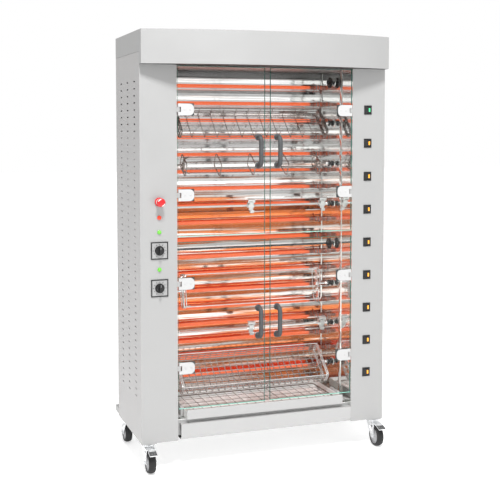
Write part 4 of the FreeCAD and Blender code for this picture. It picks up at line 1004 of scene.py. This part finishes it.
def wheel_core(name):
    """A wheel's grey caps with five ribs on both sides, and the fine treads across its tyre."""
    roll = castor_centres(name)[1]
    work = bmesh.new()
    for side in (-1, 1):
        spot = facing((roll.x + side * 0.0108, roll.y, roll.z), (side, 0, 0))
        lathe(work, [(0.032, 0.0), (0.032, 0.0014), (0.029, 0.0026), (0.02, 0.003), (0.0145, 0.0062)],
              spot, 36)
        for at in around(5):
            block(work, (0.015, -0.0015, 0.001), (0.03, 0.0015, 0.0044), 0.0006, spot @ at)
    for number in range(36):
        turn = Matrix.Rotation(2 * math.pi * number / 36, 4, "X")
        block(work, (-0.008, -0.0008, 0.0478), (0.008, 0.0008, 0.0494), 0.0003,
              Matrix.Translation(roll) @ turn, 1)
    solid(f"wheel_{name}_core", work, f"wheel_{name}", "castor_rubber", CORE, RUBBER)


def castor_bolts():
    """Four bolts under each castor's top plate."""
    work = bmesh.new()
    for name in CASTORS:
        swivel = castor_centres(name)[0]
        for dx in (-0.026, 0.026):
            for dy in (-0.019, 0.019):
                lathe(work, [(0.0062, 0.0), (0.0062, 0.0008), (0.0048, 0.001), (0.0048, 0.0042),
                             (0.004, 0.0048)],
                      facing((swivel.x + dx, swivel.y + dy, 0.124), (0, 0, -1)), 6)
    solid("castor_bolts", work, "cabinet", "castor_zinc", ZINC)


def brake_tread(name):
    """The rubber ribs and side rails on a brake pedal."""
    hinge = Matrix.Translation(Vector(JOINTS[f"brake_{name}_press"]["pos_m"]))
    place = hinge @ Matrix.Rotation(math.radians(18), 4, "X")
    work = bmesh.new()
    for number in range(5):
        y = -0.042 + 0.0062 * number
        block(work, (-0.015, y, 0.0015), (0.015, y + 0.0026, 0.0034), 0.0005, place)
    for side in (-1, 1):
        a, b = between(side, 0.0152, 0.0168)
        block(work, (a, -0.0435, 0.0012), (b, -0.01, 0.0042), 0.0005, place)
    solid(f"brake_{name}_tread", work, f"pedal_{name}", "castor_zinc", RUBBER)


# ---------------- sheet metal details

def screw(work, spot, look, radius=0.0042):
    """A domed screw head with a recess."""
    lathe(work, [(radius, -0.0003), (radius, 0.0004), (radius * 0.72, 0.0014), (radius * 0.42, 0.0016),
                 (radius * 0.34, 0.0006)], facing(spot, look), 20)


def panel_screws():
    """Screws round the back panel, low and high on both sides, and on the roof."""
    left = cad_low.x
    right = cad_high.x
    work = bmesh.new()
    for z in (0.16, 0.58, 1.00, 1.42, 1.82):
        for x in (left + 0.012, right - 0.012):
            screw(work, (x, REAR, z), (0, 1, 0))
    for number in range(1, 6):
        x = left + (right - left) * number / 6
        for z in (0.145, 1.845):
            screw(work, (x, REAR, z), (0, 1, 0))
    for side, x in ((-1, left), (1, right)):
        for z in (0.15, 1.88, 1.93):
            for y in (FACE + 0.015, FACE + 0.465):
                screw(work, (x - side * 0.0018, y, z), (side, 0, 0))
    for x in (left + 0.03, 0.0, right - 0.03):
        for y in (FACE + 0.03, REAR - 0.03):
            screw(work, (x, y, cad_high.z - 0.0016), (0, 0, 1), 0.0035)
    solid("panel_screws", work, "cabinet", "body_steel", BRIGHT)


def louvre_hoods():
    """The small hoods over the back panel's two columns of louvres."""
    work = bmesh.new()
    for side in (-1, 1):
        for number in range(8):
            z = 1.777 - 0.0313 * number
            place = Matrix.Translation((side * 0.2975, REAR, z)) @ Matrix.Rotation(math.radians(-32), 4, "X")
            block(work, (-0.094, -0.0004, -0.0002), (0.094, 0.0085, 0.0012), 0.0005, place)
    solid("louvre_hoods", work, "cabinet", "body_steel", BODY)


def slot_liners():
    """The plates behind the side panels' vent slots, each with a fold along its top."""
    work = bmesh.new()
    for side in (-1, 1):
        for near, foot in ((0.5905, 0.15), (0.5725, 1.5)):
            a, b = between(side, near, 0.5925)
            block(work, (a, FACE + 0.012, foot), (b, FACE + 0.462, 1.52), 0.0008)
    solid("slot_liners", work, "cabinet", "body_steel", SIDE_PAINTED_LIGHT)


def gland_grip():
    """The grip ribs on the cable gland's cap and the flats of its nut."""
    mounts = {mount["name"]: mount for mount in frame["record"]["mounts"]}
    at = mounts["cable_entry"]["pos_m"]
    place = facing((at[0], REAR, at[2]), (0, 1, 0))
    work = bmesh.new()
    for turn in around(12):
        block(work, (0.0125, -0.0011, 0.0085), (0.0139, 0.0011, 0.0205), 0.0004, place @ turn)
    for turn in around(6):
        block(work, (0.0145, -0.0078, 0.0006), (0.0166, 0.0078, 0.0074), 0.0006, place @ turn)
    solid("gland_grip", work, "cabinet", "switch_black", BLACK)


def spacer_rivets():
    """Two rivets on the rear face of each spacer."""
    work = bmesh.new()
    for side in (-1, 1):
        for z in (0.1395, 0.1565):
            lathe(work, [(0.003, 0.0), (0.003, 0.0006), (0.002, 0.001)],
                  facing((side * 0.565, REAR + 0.0688, z), (0, 1, 0)), 16)
    solid("spacer_rivets", work, "cabinet", "body_steel", BRIGHT)


# ---------------- studio

def surround():
    """The white surround, greyer at one end, brighter where it is seen than as a light."""
    world = bpy.data.worlds.new("surround")
    world.use_nodes = True
    tree = world.node_tree
    sky = tree.nodes["Background"]
    across = tree.nodes.new("ShaderNodeSeparateXYZ")
    tree.links.new(tree.nodes.new("ShaderNodeTexCoord").outputs["Generated"], across.inputs["Vector"])
    tree.links.new(spread(tree, across.outputs["X"], 0.75, 1.0, -0.95, -0.45), sky.inputs["Color"])
    seen = tree.nodes.new("ShaderNodeLightPath").outputs["Is Camera Ray"]
    tree.links.new(spread(tree, seen, 0.72, 1.0, 0.0, 1.0), sky.inputs["Strength"])
    bpy.context.scene.world = world


def pale_floor():
    """A pale paper floor, with some light of its own, that runs out to the surround."""
    material, tree, shader = new_material("floor_paper")
    fibres = noise(tree, position(tree), 30.0, 4.0)
    tree.links.new(ramp(tree, fibres, greys((0.3, 0.83), (0.7, 0.87))), shader.inputs["Base Color"])
    shader.inputs["Roughness"].default_value = 0.9
    shader.inputs["Emission Color"].default_value = (1.0, 1.0, 1.0, 1.0)
    shader.inputs["Emission Strength"].default_value = 0.5
    mesh = bpy.data.meshes.new("floor")
    half = 30.0
    corners = [(-half, -half, 0), (half, -half, 0), (half, half, 0), (-half, half, 0)]
    mesh.from_pydata(corners, [], [(0, 1, 2, 3)])
    mesh.materials.append(material)
    floor = bpy.data.objects.new("floor", mesh)
    bpy.context.scene.collection.objects.link(floor)


def soft_box(name, place, size, power, mirrored):
    """A large square lamp aimed at the middle of the cabinet, which polished steel may mirror or not."""
    lamp = bpy.data.lights.new(name, "AREA")
    lamp.energy = power
    lamp.size = size
    holder = bpy.data.objects.new(name, lamp)
    holder.location = place
    aim = (cad_low + cad_high) / 2 - place
    holder.rotation_euler = aim.to_track_quat("-Z", "Y").to_euler()
    holder.visible_glossy = mirrored
    bpy.context.scene.collection.objects.link(holder)


def photo_camera():
    """The camera at the photograph's viewing angle."""
    camera = bpy.data.cameras.new("camera")
    camera.lens = 69.83
    camera.sensor_width = 36.0
    camera.shift_y = -0.119
    holder = bpy.data.objects.new("camera", camera)
    holder.location = (-1.5705, -4.3471, 1.5237)
    holder.rotation_euler = (math.radians(86.39), 0.0, math.radians(-19.772))
    bpy.context.scene.collection.objects.link(holder)
    bpy.context.scene.camera = holder


paint_cad()
all_spits()
wall_fittings()
tube_holders()
top_baffle()
tray_rack()
tray_lip()
tray_guides()
for leaf in DOORS:
    clamp_fittings(leaf)
    glass_edges(leaf)
    handle_rosettes(leaf)
dial_frames()
for knob, height in zip((1, 2), DIAL_HEIGHTS):
    knob_trim(knob, height)
lamp_lenses()
stop_button()
rocker_lenses()
for corner in CASTORS:
    fork_fittings(corner)
    wheel_core(corner)
castor_bolts()
for corner in CASTORS[:2]:
    brake_tread(corner)
panel_screws()
louvre_hoods()
slot_liners()
gland_grip()
spacer_rivets()

bpy.context.scene.view_settings.view_transform = "Standard"
surround()
pale_floor()
soft_box("key", Vector((-0.9, -3.0, 5.4)), 0.9, 340.0, True)
soft_box("fill", Vector((2.8, -4.4, 0.6)), 2.0, 24.0, False)
photo_camera()
